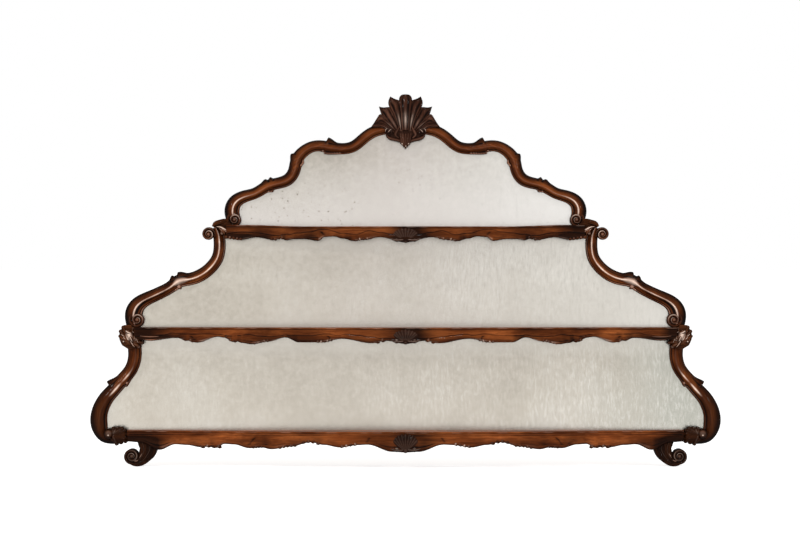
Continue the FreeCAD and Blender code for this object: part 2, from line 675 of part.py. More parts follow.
def foot_dowels(radius, half):
    x = BOTTOM.half - 2.0 * FOOT_INSET - 0.5 * FOOT_NECK
    forward = BACK_RAIL_DEPTH + 2.0 * DOWEL_RADIUS
    level = BOTTOM.top - SHELF_BOARD
    return Part.makeCompound([upright(side * x, forward, level, radius, half) for side in (1.0, -1.0)])


def screw(x, z, length, play):
    """Flush screw from the back, or the hole for it when play is given."""
    head = rod_forward(x, z, SCREW_HEAD_RADIUS + play, 0.0, SCREW_HEAD)
    return head.fuse(rod_forward(x, z, SCREW_RADIUS + play, 0.0, length + play))


def shelf_screws(play):
    screws = []
    for tier in TIERS:
        for share in SHELF_SCREW_SHARES:
            level = tier.top - 0.5 * BACK_RAIL_HEIGHT
            screws.append(screw(share * tier.half, level, SHELF_SCREW_LENGTH, play))
    return Part.makeCompound(screws)


def backboard_screws(play):
    """Screws through the laps of the backboards into the side rails."""
    screws = []
    reach = REBATE_BITE + 0.5 * (REBATE_PLAY + BACKBOARD_LAP)
    for name, knots in BACKBOARD_SCREW_KNOTS.items():
        for knot in knots:
            point = RAILS[name].inner_edge(knot, reach)
            for side in (1.0, -1.0):
                screws.append(screw(side * point.x, point.z, BACKBOARD_SCREW_LENGTH, play))
    return Part.makeCompound(screws)


def build():
    """All pieces of the etagere, by node."""
    pieces = {}
    rebates = {tier.name: rebate(tier.name) for tier in TIERS}
    dowel_holes = rail_dowels(DOWEL_RADIUS + DOWEL_PLAY, DOWEL_HALF + DOWEL_PLAY)
    foot_holes = foot_dowels(DOWEL_RADIUS + DOWEL_PLAY, DOWEL_HALF + DOWEL_PLAY)
    shelf_holes = shelf_screws(SCREW_PLAY)
    backboard_holes = backboard_screws(SCREW_PLAY)
    rails = {}

    for tier in TIERS:
        pieces[tier.name + "_apron"] = apron(tier)
        pieces[tier.name + "_shelf_board"] = shelf_board(tier).cut(shelf_holes).cut(foot_holes)
        pieces[tier.name + "_mirror"] = mirror_plate(tier.name)
        pieces[tier.name + "_backboard"] = backboard(tier.name).cut(backboard_holes)
        pieces[tier.name + "_apron_shell"] = largest(apron_shell(tier).cut(pieces[tier.name + "_apron"]))

    for tier in TIERS:
        rail = side_rail(tier.name).cut(rebates[tier.name])
        for other in TIERS:
            rail = rail.cut(back_rail(other, CUT_PAST))
        rail = rail.cut(dowel_holes).cut(backboard_holes)
        rails[tier.name] = both_sides(largest(rail))
        for side, shape in rails[tier.name].items():
            pieces[tier.name + "_rail_" + side] = shape

    for tier, below in ((BOTTOM, None), (MIDDLE, BOTTOM), (TOP, MIDDLE)):
        shape = back_rail(tier).cut(rebates[tier.name])
        if below:
            shape = shape.cut(rebates[below.name])
        pieces[tier.name + "_back_rail"] = shape.cut(shelf_holes).cut(dowel_holes)

    for tier, cap in ((BOTTOM, BOTTOM_CAP), (MIDDLE, MIDDLE_CAP), (TOP, TOP_CAP)):
        shape = leaf_cap(tier, cap)
        for node in ("_apron", "_shelf_board", "_back_rail"):
            shape = shape.cut(pieces[tier.name + node])
        for name in rails:
            shape = shape.cut(rails[name]["right"])
        for side, leaf in both_sides(largest(shape)).items():
            pieces[tier.name + "_corner_leaf_" + side] = leaf

    shape = foot()
    for node in ("bottom_apron", "bottom_back_rail"):
        shape = shape.cut(pieces[node])
    shape = largest(shape.cut(foot_holes))
    for side, scroll in both_sides(shape).items():
        pieces["scroll_foot_" + side] = scroll

    top_rails = list(rails["top"].values())
    shell = largest(crest_shell().cut(top_rails[0]).cut(top_rails[1]).cut(dowel_holes))
    leaf = largest(crest_leaf().cut(rails["top"]["right"]).cut(shell))
    drop = largest(crest_drop().cut(top_rails[0]).cut(top_rails[1]).cut(shell))
    pieces["crest_shell"] = shell
    pieces["crest_drop"] = drop
    for side, shape in both_sides(leaf).items():
        pieces["crest_leaf_" + side] = shape

    pieces["rail_dowels"] = rail_dowels(DOWEL_RADIUS, DOWEL_HALF)
    pieces["foot_dowels"] = foot_dowels(DOWEL_RADIUS, DOWEL_HALF)
    pieces["shelf_screws"] = shelf_screws(0.0)
    pieces["backboard_screws"] = backboard_screws(0.0)
    return pieces


os.makedirs("parts", exist_ok=True)
for node, piece in build().items():
    piece.exportStep("parts/" + node + ".step")
    print(node, piece.isValid(), len(piece.Solids), round(piece.Volume))
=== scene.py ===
import math

import bmesh
import bpy
import numpy as np
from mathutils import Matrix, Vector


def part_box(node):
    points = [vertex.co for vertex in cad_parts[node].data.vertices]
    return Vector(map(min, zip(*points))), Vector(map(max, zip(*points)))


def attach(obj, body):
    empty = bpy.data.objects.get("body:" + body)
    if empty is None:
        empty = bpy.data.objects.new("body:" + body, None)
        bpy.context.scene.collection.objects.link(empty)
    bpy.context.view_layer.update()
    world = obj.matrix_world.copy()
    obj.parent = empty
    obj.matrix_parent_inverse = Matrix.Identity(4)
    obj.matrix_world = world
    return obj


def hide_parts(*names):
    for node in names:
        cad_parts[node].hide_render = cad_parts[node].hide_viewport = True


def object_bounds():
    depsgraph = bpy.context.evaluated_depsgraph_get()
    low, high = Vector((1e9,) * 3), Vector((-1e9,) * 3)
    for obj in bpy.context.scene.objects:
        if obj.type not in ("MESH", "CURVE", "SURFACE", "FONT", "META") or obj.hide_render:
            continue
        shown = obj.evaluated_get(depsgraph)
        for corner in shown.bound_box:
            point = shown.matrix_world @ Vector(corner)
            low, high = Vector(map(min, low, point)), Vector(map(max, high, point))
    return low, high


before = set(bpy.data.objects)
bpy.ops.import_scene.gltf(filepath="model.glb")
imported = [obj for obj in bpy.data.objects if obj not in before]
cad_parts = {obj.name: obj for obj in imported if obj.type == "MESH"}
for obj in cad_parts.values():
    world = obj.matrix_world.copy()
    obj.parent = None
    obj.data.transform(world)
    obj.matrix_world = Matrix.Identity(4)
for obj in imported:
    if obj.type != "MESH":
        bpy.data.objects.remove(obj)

# Looks of the mirrored etagere. Carving is worked out in millimetres as (x, forward, z), where forward
# is the distance from the flat back, and turned into metres of the frame when a mesh is made.
MM = 0.001
CAD_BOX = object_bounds()
BACK_Y = CAD_BOX[1].y
SIDES = {"right": 1, "left": -1}
TIERS = ("bottom", "middle", "top")

# Shelves, read from the frame
SHELF_TOP = {tier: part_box(tier + "_shelf_board")[1].z / MM for tier in TIERS}
SHELF_HALF = {tier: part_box(tier + "_shelf_board")[1].x / MM for tier in TIERS}
SHELF_DEPTH = {tier: (BACK_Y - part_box(tier + "_apron")[0].y) / MM for tier in TIERS}
SHELF_END_DEPTH = 56
BOW_POWER = 1.3

# Carved apron on the front edge of each shelf
APRON_THICKNESS = 22
APRON_STEPS = 760
APRON_LIP = 4
APRON_LIP_POINTS = 6
APRON_LIP_GAP = 0.8
APRON_FACE_POINTS = 30
APRON_BAND = 15
APRON_LEAST_LOBE = 6
APRON_PROUDEST = 1.5
APRON_FLANK = 3
GROOVE_HALF = 1.8
RIM_PLACE = 0.84
RIM_HALF = 0.1
FOLD_HALF = 6
# Lower edge of each apron, as (share of the half length, depth below the shelf's top)
APRON_DROPS = {
    "bottom": [
        (0, 50), (0.045, 48.5), (0.137, 31), (0.168, 32), (0.235, 38), (0.29, 32), (0.338, 25.5),
        (0.41, 36.5), (0.48, 43.5), (0.515, 39.5), (0.558, 41.5), (0.616, 32.5), (0.648, 31.5),
        (0.679, 41.5), (0.706, 38.5), (0.732, 40.5), (0.786, 35), (0.826, 33.5), (0.885, 47.5),
        (0.955, 29), (1, 27)],
    "middle": [
        (0, 39.5), (0.07, 32), (0.122, 38), (0.233, 27), (0.31, 36), (0.39, 36), (0.44, 24),
        (0.5, 34), (0.566, 41), (0.6, 38), (0.62, 34), (0.634, 35.5), (0.664, 25), (0.69, 23),
        (0.766, 37.5), (0.8, 33), (0.842, 26), (0.943, 33), (1, 30)],
    "top": [
        (0, 39.5), (0.146, 27), (0.227, 33), (0.29, 36.5), (0.345, 30.5), (0.4, 25), (0.45, 26.5),
        (0.485, 36), (0.563, 31.5), (0.619, 31.5), (0.664, 34.5), (0.698, 29.5), (0.731, 33.5), (0.832, 27),
        (0.917, 33), (1, 29.5)]}
# How dark each apron is, before its ends, its hollows and its figure
APRON_SHADE = {"bottom": 0.16, "middle": 0.42, "top": 0.5}
# Lower border of the plain band on each apron, as (share of the half length, depth below the shelf's top)
APRON_BORDERS = {
    "bottom": [(0, 9), (1, 9)],
    "middle": [
        (0, 28), (0.072, 27), (0.138, 22), (0.171, 18.5), (0.22, 15.5), (0.244, 18.5), (0.29, 15),
        (0.352, 19.5), (0.435, 19.5), (0.505, 22), (0.538, 20.5), (0.574, 17), (0.61, 19.5), (0.644, 21),
        (0.683, 17), (0.72, 15.5), (0.79, 16.5), (0.822, 16), (0.858, 14), (0.891, 18.5), (0.934, 22),
        (1, 22)],
    "top": [
        (0, 22), (0.074, 20), (0.135, 15.5), (0.202, 11), (0.276, 20), (0.356, 17), (0.437, 8),
        (0.477, 8), (0.531, 13.5), (0.599, 16.5), (0.652, 20), (0.726, 23), (0.827, 17), (0.907, 15.5),
        (1, 18)]}
# Depth of the crease along that border
APRON_CREASE = {"bottom": 0.5, "middle": 1.4, "top": 1}
# Rise of the lip towards the shelf's ends
APRON_RISE = {"bottom": 0, "middle": 0, "top": 4}
# Folds that cross the lobes of each apron, as (share of the half length, lean, depth)
APRON_FOLDS = {
    "bottom": [(0.13, 0.6, 0.3), (0.54, 0.8, 0.3)],
    "middle": [(0.29, -0.9, 0.4), (0.545, 0.8, 0.3), (0.8, -1.2, 0.5), (0.655, -0.8, 0.3)],
    "top": [(0.3, -1.2, 0.3), (0.465, -1.1, 0.35), (0.72, -0.8, 0.3)]}
# Ruffles of small leaves along the lower edge, as (first and last share of the half length, leaves,
# lean, painted glint)
APRON_RUFFLES = {
    "bottom": [
        (0.73, 0.67, 4, 0.5, 0.3), (0.544, 0.515, 4, 0.15, 0.2), (0.45, 0.396, 5, 0.4, 0.25),
        (0.363, 0.309, 4, -0.4, 0.15), (0.226, 0.179, 4, -0.5, 0.7)],
    "middle": [
        (0.815, 0.789, 2, 0.6, 0.2), (0.657, 0.627, 3, 0.5, 0.2),
        (0.553, 0.505, 5, -0.5, 0.5), (0.32, 0.273, 5, 0.3, 0.9), (0.105, 0.085, 2, 0.4, 0.2)],
    "top": [
        (1, 0.92, 5, 0.4, 0.25), (0.746, 0.687, 4, 0.4, 0.15), (0.274, 0.19, 5, -0.4, 0.5)]}
# Rolled edges at the ends of an apron, as points of (share of the half length, drop)
APRON_ROLLS = {
    "bottom": [],
    "middle": [[(0.978, 21), (0.945, 23), (0.895, 21.5)], [(0.96, 29.5), (0.938, 31), (0.915, 29)]],
    "top": []}
RUFFLE_LENGTH = 9
# How strong the painted glint is on each leaf of a ruffle
RUFFLE_GLINTS = (0.4, 1, 0.2, 0.7, 0.3)
# Fan of each apron: how far it stands before the apron's front, its half width, its spread to each side
# in degrees, and its flutes
SHELL_SEAT = {"bottom": 0.5, "middle": -1.5, "top": -1.5}
SHELL_HALF = 31
SHELL_SPREAD = 72
SHELL_FLUTES = 9

# Side rails on the right, as (outward, up, share of the width) from the corner that each springs from
RAIL_WIDTH = 32
RAIL_DEPTH = 34
RAIL_STEPS = 320
RAIL_CORNER = {"bottom": 4, "middle": -4, "top": -19}
RAIL_KNOTS = {
    "bottom": [
        (20, -27, 0.5), (39, -25.5, 0.6), (57, -18, 0.85), (67, 0, 1.2),
        (71, 20, 1.34), (70, 40, 1.31), (63.5, 60, 1.25), (52, 80, 1.17),
        (34.5, 100, 1.1), (15, 122, 1.06), (-1, 140, 1.04), (-11, 155, 1.04),
        (-17, 172, 1.05), (-19.2, 190, 1.07), (-18.2, 210, 1.09), (-16, 233, 1.11)],
    "middle": [
        (4.5, 3, 1.28), (6.5, 38, 1.38), (-2.5, 55, 1.25), (-18.5, 67.5, 1.1),
        (-40.5, 78, 1.02), (-67, 90.5, 0.98), (-86, 101.5, 0.98), (-104.5, 114.5, 1.04),
        (-130, 120, 1), (-154.5, 127.5, 1), (-174, 139.5, 0.98), (-190.5, 155.5, 0.97),
        (-202, 174, 0.95), (-206.5, 194, 0.94), (-207, 213, 0.94), (-205.5, 228, 0.92),
        (-202, 240, 0.82), (-197, 250, 0.6)],
    "top": [
        (0, 12, 1.08), (7, 38, 1.18), (1, 59, 1.12), (-21.5, 75, 0.97),
        (-51.5, 84.5, 0.88), (-79.5, 100.5, 0.92), (-103, 108, 0.9), (-134.5, 119.5, 0.95),
        (-149, 142, 0.96), (-155, 166, 0.98), (-171, 187.5, 0.92), (-201, 202, 0.87),
        (-237, 199, 0.9), (-270, 195.5, 0.88), (-295, 200.5, 0.88), (-321, 220, 0.89),
        (-348.5, 238, 0.89), (-373, 244.5, 0.88), (-400, 246.5, 0.88), (-427, 246.5, 0.88)]}
# Moulding across a rail, as (share of the width from the outer edge, share of the depth), then its points
# across and the place of its ridge
ROUND_PROFILE = [
    (0, 0.36), (0.03, 0.54), (0.08, 0.68), (0.16, 0.81), (0.28, 0.92), (0.4, 0.985), (0.5, 1),
    (0.6, 0.985), (0.7, 0.93), (0.78, 0.86), (0.84, 0.78), (0.87, 0.75), (0.9, 0.77), (0.94, 0.76),
    (0.97, 0.68), (1, 0.44)]
RIDGE_PROFILE = [
    (0, 0.36), (0.03, 0.52), (0.08, 0.63), (0.18, 0.74), (0.32, 0.87), (0.43, 0.97), (0.49, 1),
    (0.54, 1), (0.6, 0.95), (0.7, 0.87), (0.8, 0.8), (0.85, 0.75), (0.88, 0.74), (0.91, 0.77),
    (0.95, 0.75), (0.98, 0.66), (1, 0.44)]
RAIL_PROFILE = {"bottom": ROUND_PROFILE, "middle": RIDGE_PROFILE, "top": ROUND_PROFILE}
RAIL_ACROSS = 44
RIDGE = {"bottom": 0.6, "middle": 0.52, "top": 0.56}
# Patina and painted shade across a rail, deepest at its edges, as (share of the width from the outer edge,
# darkness)
RAIL_SHADE = {
    "bottom": [
        (0, 1), (0.26, 0.98), (0.4, 0.92), (0.52, 0.87), (0.76, 0.84), (0.86, 0.86), (0.91, 0.94),
        (0.95, 0.6), (1, 0.9)],
    "middle": [
        (0, 1), (0.07, 1), (0.14, 0.93), (0.24, 0.82), (0.34, 0.66), (0.4, 0.5), (0.44, 0.65),
        (0.48, 0.35), (0.56, 0.35), (0.61, 0.8), (0.7, 0.65), (0.8, 0.55), (0.86, 0.75), (0.91, 0.4),
        (0.95, 0.75), (1, 0.95)],
    "top": [
        (0, 1), (0.09, 0.96), (0.18, 0.86), (0.3, 0.65), (0.42, 0.43), (0.56, 0.4), (0.68, 0.55),
        (0.8, 0.7), (0.88, 0.75), (0.93, 0.5), (0.97, 0.65), (1, 0.9)]}
# How much less dark a rail is at its upper end
RAIL_FADE = {"bottom": 0.85, "middle": 0.5, "top": -0.1}
# How much darker it is where it springs from the corner
RAIL_ROOT = {"bottom": 0.05, "middle": 0.08, "top": 0.15}
RAIL_ROOT_SHARE = 0.22
# Leaf steps where two scrolls of a rail meet, as (knot, edge: 1 outer and -1 inner, stand, run up,
# run off), the share of the width that they move, and how they swell and take painted shade with each
# millimetre
RAIL_EDGE = 0.3
STEP_POWER = 1.3
STEP_SWELL = 0.012
STEP_PAINTED_SHADE = 0.14
STEP_DARKEST = 0.85
RAIL_STEPS_OUT = {
    "bottom": [(8.15, 1, 9, 4, 32), (9, -1, 3.5, 5, 26)],
    "middle": [(6.72, 1, 5, 12, 4), (7.2, 1, 6, 4, 24), (6.8, -1, 4, 10, 6)],
    "top": [
        (5.15, 1, 4, 14, 6), (5.62, 1, 5, 8, 7), (5.5, -1, 4, 20, 4),
        (9.25, 1, 5, 14, 5), (9, -1, 3, 14, 12), (11.8, 1, 9.5, 3.5, 32),
        (11.75, -1, 4.5, 4, 42)]}
# Small beads on the inner edge of a rail, as (first knot, last knot, count, radius, inset)
RAIL_BEADS = {
    "bottom": [(9.3, 9.3, 1, 4, 6)],
    "middle": [(6.75, 6.75, 1, 6, 8), (6.2, 6.4, 2, 2.6, 2)],
    "top": [(8.6, 9.2, 4, 2.8, 2), (11.6, 12.8, 8, 2.8, 2.2), (5, 5.3, 2, 2.6, 2)]}
# Painted highlight along the ridge, as (share of the rail's length, painted highlight, spread as a share of
# the width)
RAIL_PAINTED_HIGHLIGHT = {
    "bottom": [
        (0, 0, 0.05), (0.47, 0.05, 0.05), (0.51, 0.8, 0.055), (0.55, 1, 0.07), (0.59, 0.8, 0.06),
        (0.62, 0.15, 0.05), (0.65, 0.6, 0.05), (0.69, 0.95, 0.06), (0.73, 0.4, 0.05), (0.78, 0.12, 0.06),
        (1, 0.1, 0.06)],
    "middle": [
        (0, 0.3, 0.036), (0.06, 0.8, 0.045), (0.15, 1, 0.05), (0.22, 0.6, 0.042), (0.3, 0.85, 0.046),
        (0.36, 0.5, 0.048), (0.42, 0.9, 0.06), (0.46, 0.85, 0.2), (0.5, 0.75, 0.18), (0.54, 1, 0.06),
        (0.63, 0.7, 0.054), (0.7, 1, 0.062), (0.76, 0.7, 0.054), (0.82, 0.9, 0.054), (0.9, 1, 0.06),
        (1, 0.6, 0.036)],
    "top": [
        (0, 0.3, 0.04), (0.05, 0.9, 0.05), (0.1, 0.9, 0.05), (0.17, 0.3, 0.05), (0.25, 0.12, 0.06),
        (0.6, 0.1, 0.06), (1, 0.06, 0.06)]}
# Painted highlight along the bead on the inner edge of each rail: its shine, its place and spread across,
# and the beat of the shine
BEAD_SHINE = {"bottom": 0.2, "middle": 0.4, "top": 0.15}
BEAD_PLACE = 0.92
BEAD_SPREAD = 0.025
BEAD_BEAT = 23

# Rebate behind a rail for the glass and the backboard, as (depth in from the edge, its largest share of
# the width, forward)
REBATE_GLASS = (7.6, 0.3, 12.2)
REBATE_BOARD = (16.6, 0.6, 8.2)

# Volutes on the right, as (x from the shelf's end, z from the shelf's top, radius, start in degrees), and
# how a volute winds in, rises and starts
RAIL_VOLUTES = {
    "bottom": [],
    "middle": [(-6, 19, 22.5, 75), (-184.5, 232.5, 19, 200)],
    "top": [(-19, 18, 20.9, 70)]}
VOLUTE_TURNS = 2.1
VOLUTE_STEPS = 60
VOLUTE_ACROSS = 11
VOLUTE_CURL = 1.15
VOLUTE_EYE = 0.2
VOLUTE_EYE_RISE = 3
VOLUTE_LIFT = 3
VOLUTE_SINK = 5
VOLUTE_STEP_UP = 2
VOLUTE_RUN_IN = 0.2

# Leaves and beads: points across, around and up, how full they are, how dark their backs are, how much
# painted shade their edges take, and the angle past which an edge is sharp
PETAL_ACROSS = 17
PETAL_BACK_STRIDE = 4
PETAL_ROUND = 0.6
PETAL_FULL = 1.4
PETAL_RIB = 0.8
BLADE_ACROSS = 25
BLADE_BACK_STRIDE = 6
BLADE_FLUTES = 2
BLADE_FULL = 1.6
DOME_AROUND = 20
DOME_RISES = 8
DOME_TIP = 0.04
BACK_PATINA = 0.5
EDGE_PAINTED_SHADE = 0.9
SHARP_ANGLE = 52

# Scroll foot on the right: its depth, its roll as (x, z, radius), its spine as (x, z), and its half widths
# as (share, left, right)
FOOT_DEPTH = 50
FOOT_ROLL = (682, 26, 21.5)
FOOT_SPINE = [
    (645, 78), (641, 60), (640, 44), (648, 26), (661, 11.5), (672, 6.5), (684, 6.5)]
FOOT_HALVES = [
    (0, 27, 30), (0.25, 25, 22), (0.5, 21, 18), (0.75, 13, 10.5), (0.9, 6, 5.5),
    (1, 1.5, 2)]
FOOT_INSET = 6

# Level that the crest's rises are given from
CREST_Z = SHELF_TOP["top"] + 248

# Tones of the timbers, of the steel and of the glass, as linear colour
WALNUT_DARK = (0.05, 0.0105, 0.002, 1)
WALNUT_MID = (0.158, 0.038, 0.009, 1)
WALNUT_LIGHT = (0.38, 0.105, 0.026, 1)
CREST_DARK = (0.01, 0.0033, 0.0017, 1)
CREST_MID = (0.048, 0.0175, 0.0097, 1)
CREST_LIGHT = (0.105, 0.044, 0.027, 1)
CAP_DARK = (0.009, 0.0024, 0.0008, 1)
CAP_MID = (0.047, 0.0138, 0.0042, 1)
CAP_LIGHT = (0.113, 0.034, 0.0105, 1)
# Dark colour of the patina and of the painted shade
PATINA_AND_SHADE = (0.004, 0.0018, 0.0012, 1)
# Pale colour of the painted highlights on ridges, beads and leaves
PAINTED_HIGHLIGHT = (0.88, 0.69, 0.57, 1)
PINE_DARK = (0.16, 0.09, 0.045, 1)
PINE_LIGHT = (0.33, 0.21, 0.115, 1)
BEECH_DARK = (0.3, 0.18, 0.1, 1)
BEECH_LIGHT = (0.5, 0.34, 0.2, 1)
STEEL_DARK = (0.36, 0.35, 0.33, 1)
STEEL_LIGHT = (0.56, 0.55, 0.53, 1)
SILVER = [(0.3, (0.385, 0.353, 0.3)), (0.5, (0.435, 0.402, 0.346)), (0.7, (0.475, 0.446, 0.395))]
MOTTLE_PALE = (0.55, 0.515, 0.455, 1)
MOTTLE_DULL = (0.36, 0.335, 0.285, 1)
# Colour of the painted glow in the middle of a mirror
GLASS_PAINTED_GLOW = (0.56, 0.515, 0.48, 1)
GLASS_LOW = (0.655, 0.62, 0.585, 1)
# Colour of the painted light along the edges of a mirror
GLASS_PAINTED_EDGE = (0.72, 0.69, 0.64, 1)
STREAK_PALE = (0.6, 0.58, 0.54, 1)
STREAK_DIM = (0.3, 0.285, 0.25, 1)
SCRATCH_PALE = (0.68, 0.655, 0.61, 1)
SCRATCH_DULL = (0.33, 0.31, 0.27, 1)
FOXING = (0.26, 0.225, 0.18, 1)
# Each mirror: brightness, foxing, streaks, painted glow of the middle, tone towards the right end and where
# it starts, how pale it is low down, and the painted light that pales it under the shelf above
GLASS = {
    "bottom": {"level": 1, "spots": 0, "streaks": 0.2, "glow": 0.1, "ends": (0.35, 0.355, 0.315, 1),
               "first": 0.88, "lower": 0, "rim": 0.5},
    "middle": {"level": 1.12, "spots": 0.15, "streaks": 0.2, "glow": 0.45, "ends": (0.61, 0.59, 0.55, 1),
               "first": 0.5, "lower": 0, "rim": 0.35},
    "top": {"level": 1.02, "spots": 1, "streaks": 0.1, "glow": 0.8, "ends": (0.78, 0.765, 0.74, 1),
            "first": 0.55, "lower": 0.9, "rim": 0}}
GLASS_METAL = 0.85
# How far the painted shade of a hollow reaches, in metres, and coats of polish as (weight, refraction)
HOLLOW_REACH = 0.012
THIN_COAT = (0.05, 1.5)
SHELF_COAT = (0.55, 1.06)
COAT_ROUGHNESS = 0.1

# Stage, in metres: soft lights as (name, place, size, power, colour), and the camera, which sees a span
# of 2 m at the rails
FILL_COLOUR = (1, 0.985, 0.97, 1)
FILL_STRENGTH = 0.6
FLOOR_REACH = 400
FLOOR_PAINT = (0.86, 0.86, 0.86, 1)
FLOOR_GLOW = 0.62
LIGHT_AIM = (0, 0, 0.45)
SOFTBOXES = [
    ("left_softbox", (-3.6, -3.4, 2.2), 0.35, 110, (1, 0.98, 0.96)),
    ("right_softbox", (3.6, -3.4, 1.6), 0.35, 90, (0.96, 0.98, 1)),
    ("top_softbox", (0, -2.4, 3.6), 0.5, 50, (1, 1, 1))]
CAMERA_X = -0.01375
CAMERA_Z = 0.49875
CAMERA_DISTANCE = 8
CAMERA_SPAN = 2
CAMERA_SENSOR = 36


def chord_lengths(points):
    return np.concatenate([[0], np.cumsum(np.linalg.norm(np.diff(points, axis=0), axis=1))])


def cubic(knots, values, places):
    """Natural cubic spline through values at the knots, read at the places."""
    count = len(knots)
    gaps = np.diff(knots)
    system = np.eye(count)
    right = np.zeros_like(values)
    slopes = np.diff(values, axis=0) / gaps[:, None]
    for row in range(1, count - 1):
        system[row, row - 1:row + 2] = gaps[row - 1], 2 * (gaps[row - 1] + gaps[row]), gaps[row]
        right[row] = 6 * (slopes[row] - slopes[row - 1])
    bends = np.linalg.solve(system, right)
    first = np.clip(np.searchsorted(knots, places) - 1, 0, count - 2)
    gap = gaps[first]
    after = ((places - knots[first]) / gap)[:, None]
    before = 1 - after
    square = (gap ** 2 / 6)[:, None]
    bow = (before ** 3 - before) * bends[first] + (after ** 3 - after) * bends[first + 1]
    return before * values[first] + after * values[first + 1] + bow * square


def smooth_curve(points, count):
    points = np.array(points, float)
    lengths = chord_lengths(points)
    return cubic(lengths, points, np.linspace(0, lengths[-1], count))


def ease(share):
    share = np.clip(share, 0, 1)
    return share * share * (3 - 2 * share)


def read(table, share, column):
    table = np.array(table, float)
    return np.interp(share, table[:, 0], table[:, column])


def add_object(name, data):
    thing = bpy.data.objects.new(name, data)
    bpy.context.scene.collection.objects.link(thing)
    return thing


class Carving:
    """Closed surfaces gathered into one piece, with the painted highlight, patina and painted shade that
    its material reads.
    """

    def __init__(self):
        self.points = []
        self.faces = []
        self.burnish = []
        self.patina = []
        self.count = 0

    def loft(self, rows, burnish=0, patina=0):
        """Add a closed surface through rows of closed loops, with its two ends capped."""
        rows = np.asarray(rows, float)
        steps, around = rows.shape[:2]
        index = np.arange(steps * around).reshape(steps, around) + self.count
        beside = np.roll(index, -1, axis=1)
        quads = np.stack([index[:-1], beside[:-1], beside[1:], index[1:]], axis=-1).reshape(-1, 4)
        self.faces += quads.tolist()
        self.faces.append(index[0, ::-1].tolist())
        self.faces.append(index[-1].tolist())
        self.points.append(rows.reshape(-1, 3))
        self.burnish.append(np.broadcast_to(burnish, (steps, around)).reshape(-1))
        self.patina.append(np.broadcast_to(patina, (steps, around)).reshape(-1))
        self.count += steps * around

    def place(self, name, nodes, slot, material, side=1, grain=(1, 0)):
        """Make the piece, on the side given, in the place of CAD nodes."""
        points = np.concatenate(self.points)
        lean = np.array(grain, float) / np.linalg.norm(grain)
        along = points[:, 0] * lean[0] + points[:, 2] * lean[1]
        across = points[:, 2] * lean[0] - points[:, 0] * lean[1]
        lines = np.column_stack([along, across, points[:, 1]]) * MM
        metres = np.column_stack([side * points[:, 0] * MM, BACK_Y - points[:, 1] * MM, points[:, 2] * MM])
        mesh = bpy.data.meshes.new(name)
        mesh.from_pydata(metres.tolist(), [], self.faces)
        shape = bmesh.new()
        shape.from_mesh(mesh)
        bmesh.ops.recalc_face_normals(shape, faces=shape.faces)
        shape.to_mesh(mesh)
        shape.free()
        mesh.shade_smooth()
        mesh.set_sharp_from_angle(angle=math.radians(SHARP_ANGLE))
        self.shade(mesh, lines)
        piece = add_object(name, mesh)
        mesh.materials.append(material)
        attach(piece, "root")
        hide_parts(*nodes)

    def shade(self, mesh, lines):
        """Keep the grain's direction, the painted highlight, and the patina with the painted shade of the
        hollows on the points of the mesh.
        """
        count = len(mesh.vertices)
        points = np.empty((count, 3))
        mesh.vertices.foreach_get("co", points.ravel())
        normals = np.empty((count, 3))
        mesh.vertex_normals.foreach_get("vector", normals.ravel())
        edges = np.empty(len(mesh.edges) * 2, np.int32)
        mesh.edges.foreach_get("vertices", edges)
        first, second = edges.reshape(-1, 2).T
        joined = np.bincount(edges, minlength=count).clip(1)

        def around(values):
            total = np.bincount(first, values[second], count) + np.bincount(second, values[first], count)
            return total / joined

        middle = np.column_stack([around(points[:, axis]) for axis in range(3)])
        reach = around(np.linalg.norm(points - middle, axis=1)) + 1e-6
        hollow = np.einsum("ij,ij->i", middle - points, normals) / reach
        for _ in range(2):
            hollow = 0.5 * hollow + 0.5 * around(hollow)
        # Painted shade: concave hollows are darkened on top of the patina
        patina = np.clip(np.concatenate(self.patina) + 0.5 * np.clip(hollow, 0, 1), 0, 1)
        burnish = np.clip(np.concatenate(self.burnish), 0, 1)
        mesh.attributes.new("grain", "FLOAT_VECTOR", "POINT").data.foreach_set("vector", lines.ravel())
        mesh.attributes.new("burnish", "FLOAT", "POINT").data.foreach_set("value", burnish)
        mesh.attributes.new("patina", "FLOAT", "POINT").data.foreach_set("value", patina)


def loft_leaf(carving, face, level, stride, lit, dark):
    """Close the face of a leaf with a flat back at a level, and add it to a carving."""
    back = face[:, ::-stride].copy()
    back[..., 1] = level
    behind = np.zeros(back.shape[:2])
    lit = np.concatenate([np.broadcast_to(lit, face.shape[:2]), behind], axis=1)
    dark = np.concatenate([np.broadcast_to(dark, face.shape[:2]), behind + BACK_PATINA], axis=1)
    carving.loft(np.concatenate([face, back], axis=1), lit, dark)


def petal(carving, spine, halves, crown=4, thick=14, ribs=0, steps=26, burnish=0, patina=0, worn=0.3):
    """Leaf along a spine of (x, forward, z), with halves as (share, half) or (share, left, right)."""
    line = smooth_curve(spine, steps)
    share = np.linspace(0, 1, steps)
    left = read(halves, share, 1)
    right = read(halves, share, -1)
    tangent = np.gradient(line, axis=0)
    tangent /= np.linalg.norm(tangent[:, [0, 2]], axis=1)[:, None]
    across = np.linspace(-1, 1, PETAL_ACROSS)
    offset = np.where(across < 0, across * left[:, None], across * right[:, None])
    swell = (1 - across ** 2) ** PETAL_ROUND
    if ribs:
        swell = swell + PETAL_RIB / crown * np.cos(ribs * math.pi * across) * (1 - across ** 2) ** 0.5
    wide = np.minimum(1, (left + right) / np.max(left + right) * PETAL_FULL)
    front = line[:, 1:2] + crown * wide[:, None] * swell
    x = line[:, 0:1] + offset * tangent[:, 2:3]
    z = line[:, 2:3] - offset * tangent[:, 0:1]
    face = np.stack([x, front, z], axis=-1)
    # Painted highlight along the middle of the leaf, and painted shade at its edges
    lit = burnish * np.exp(-((across + 0.1) / worn) ** 2)
    dark = np.maximum(patina, EDGE_PAINTED_SHADE * across ** 4) * (1 - 0.8 * lit)
    loft_leaf(carving, face, line[:, 1:2] - thick, PETAL_BACK_STRIDE, lit, dark)


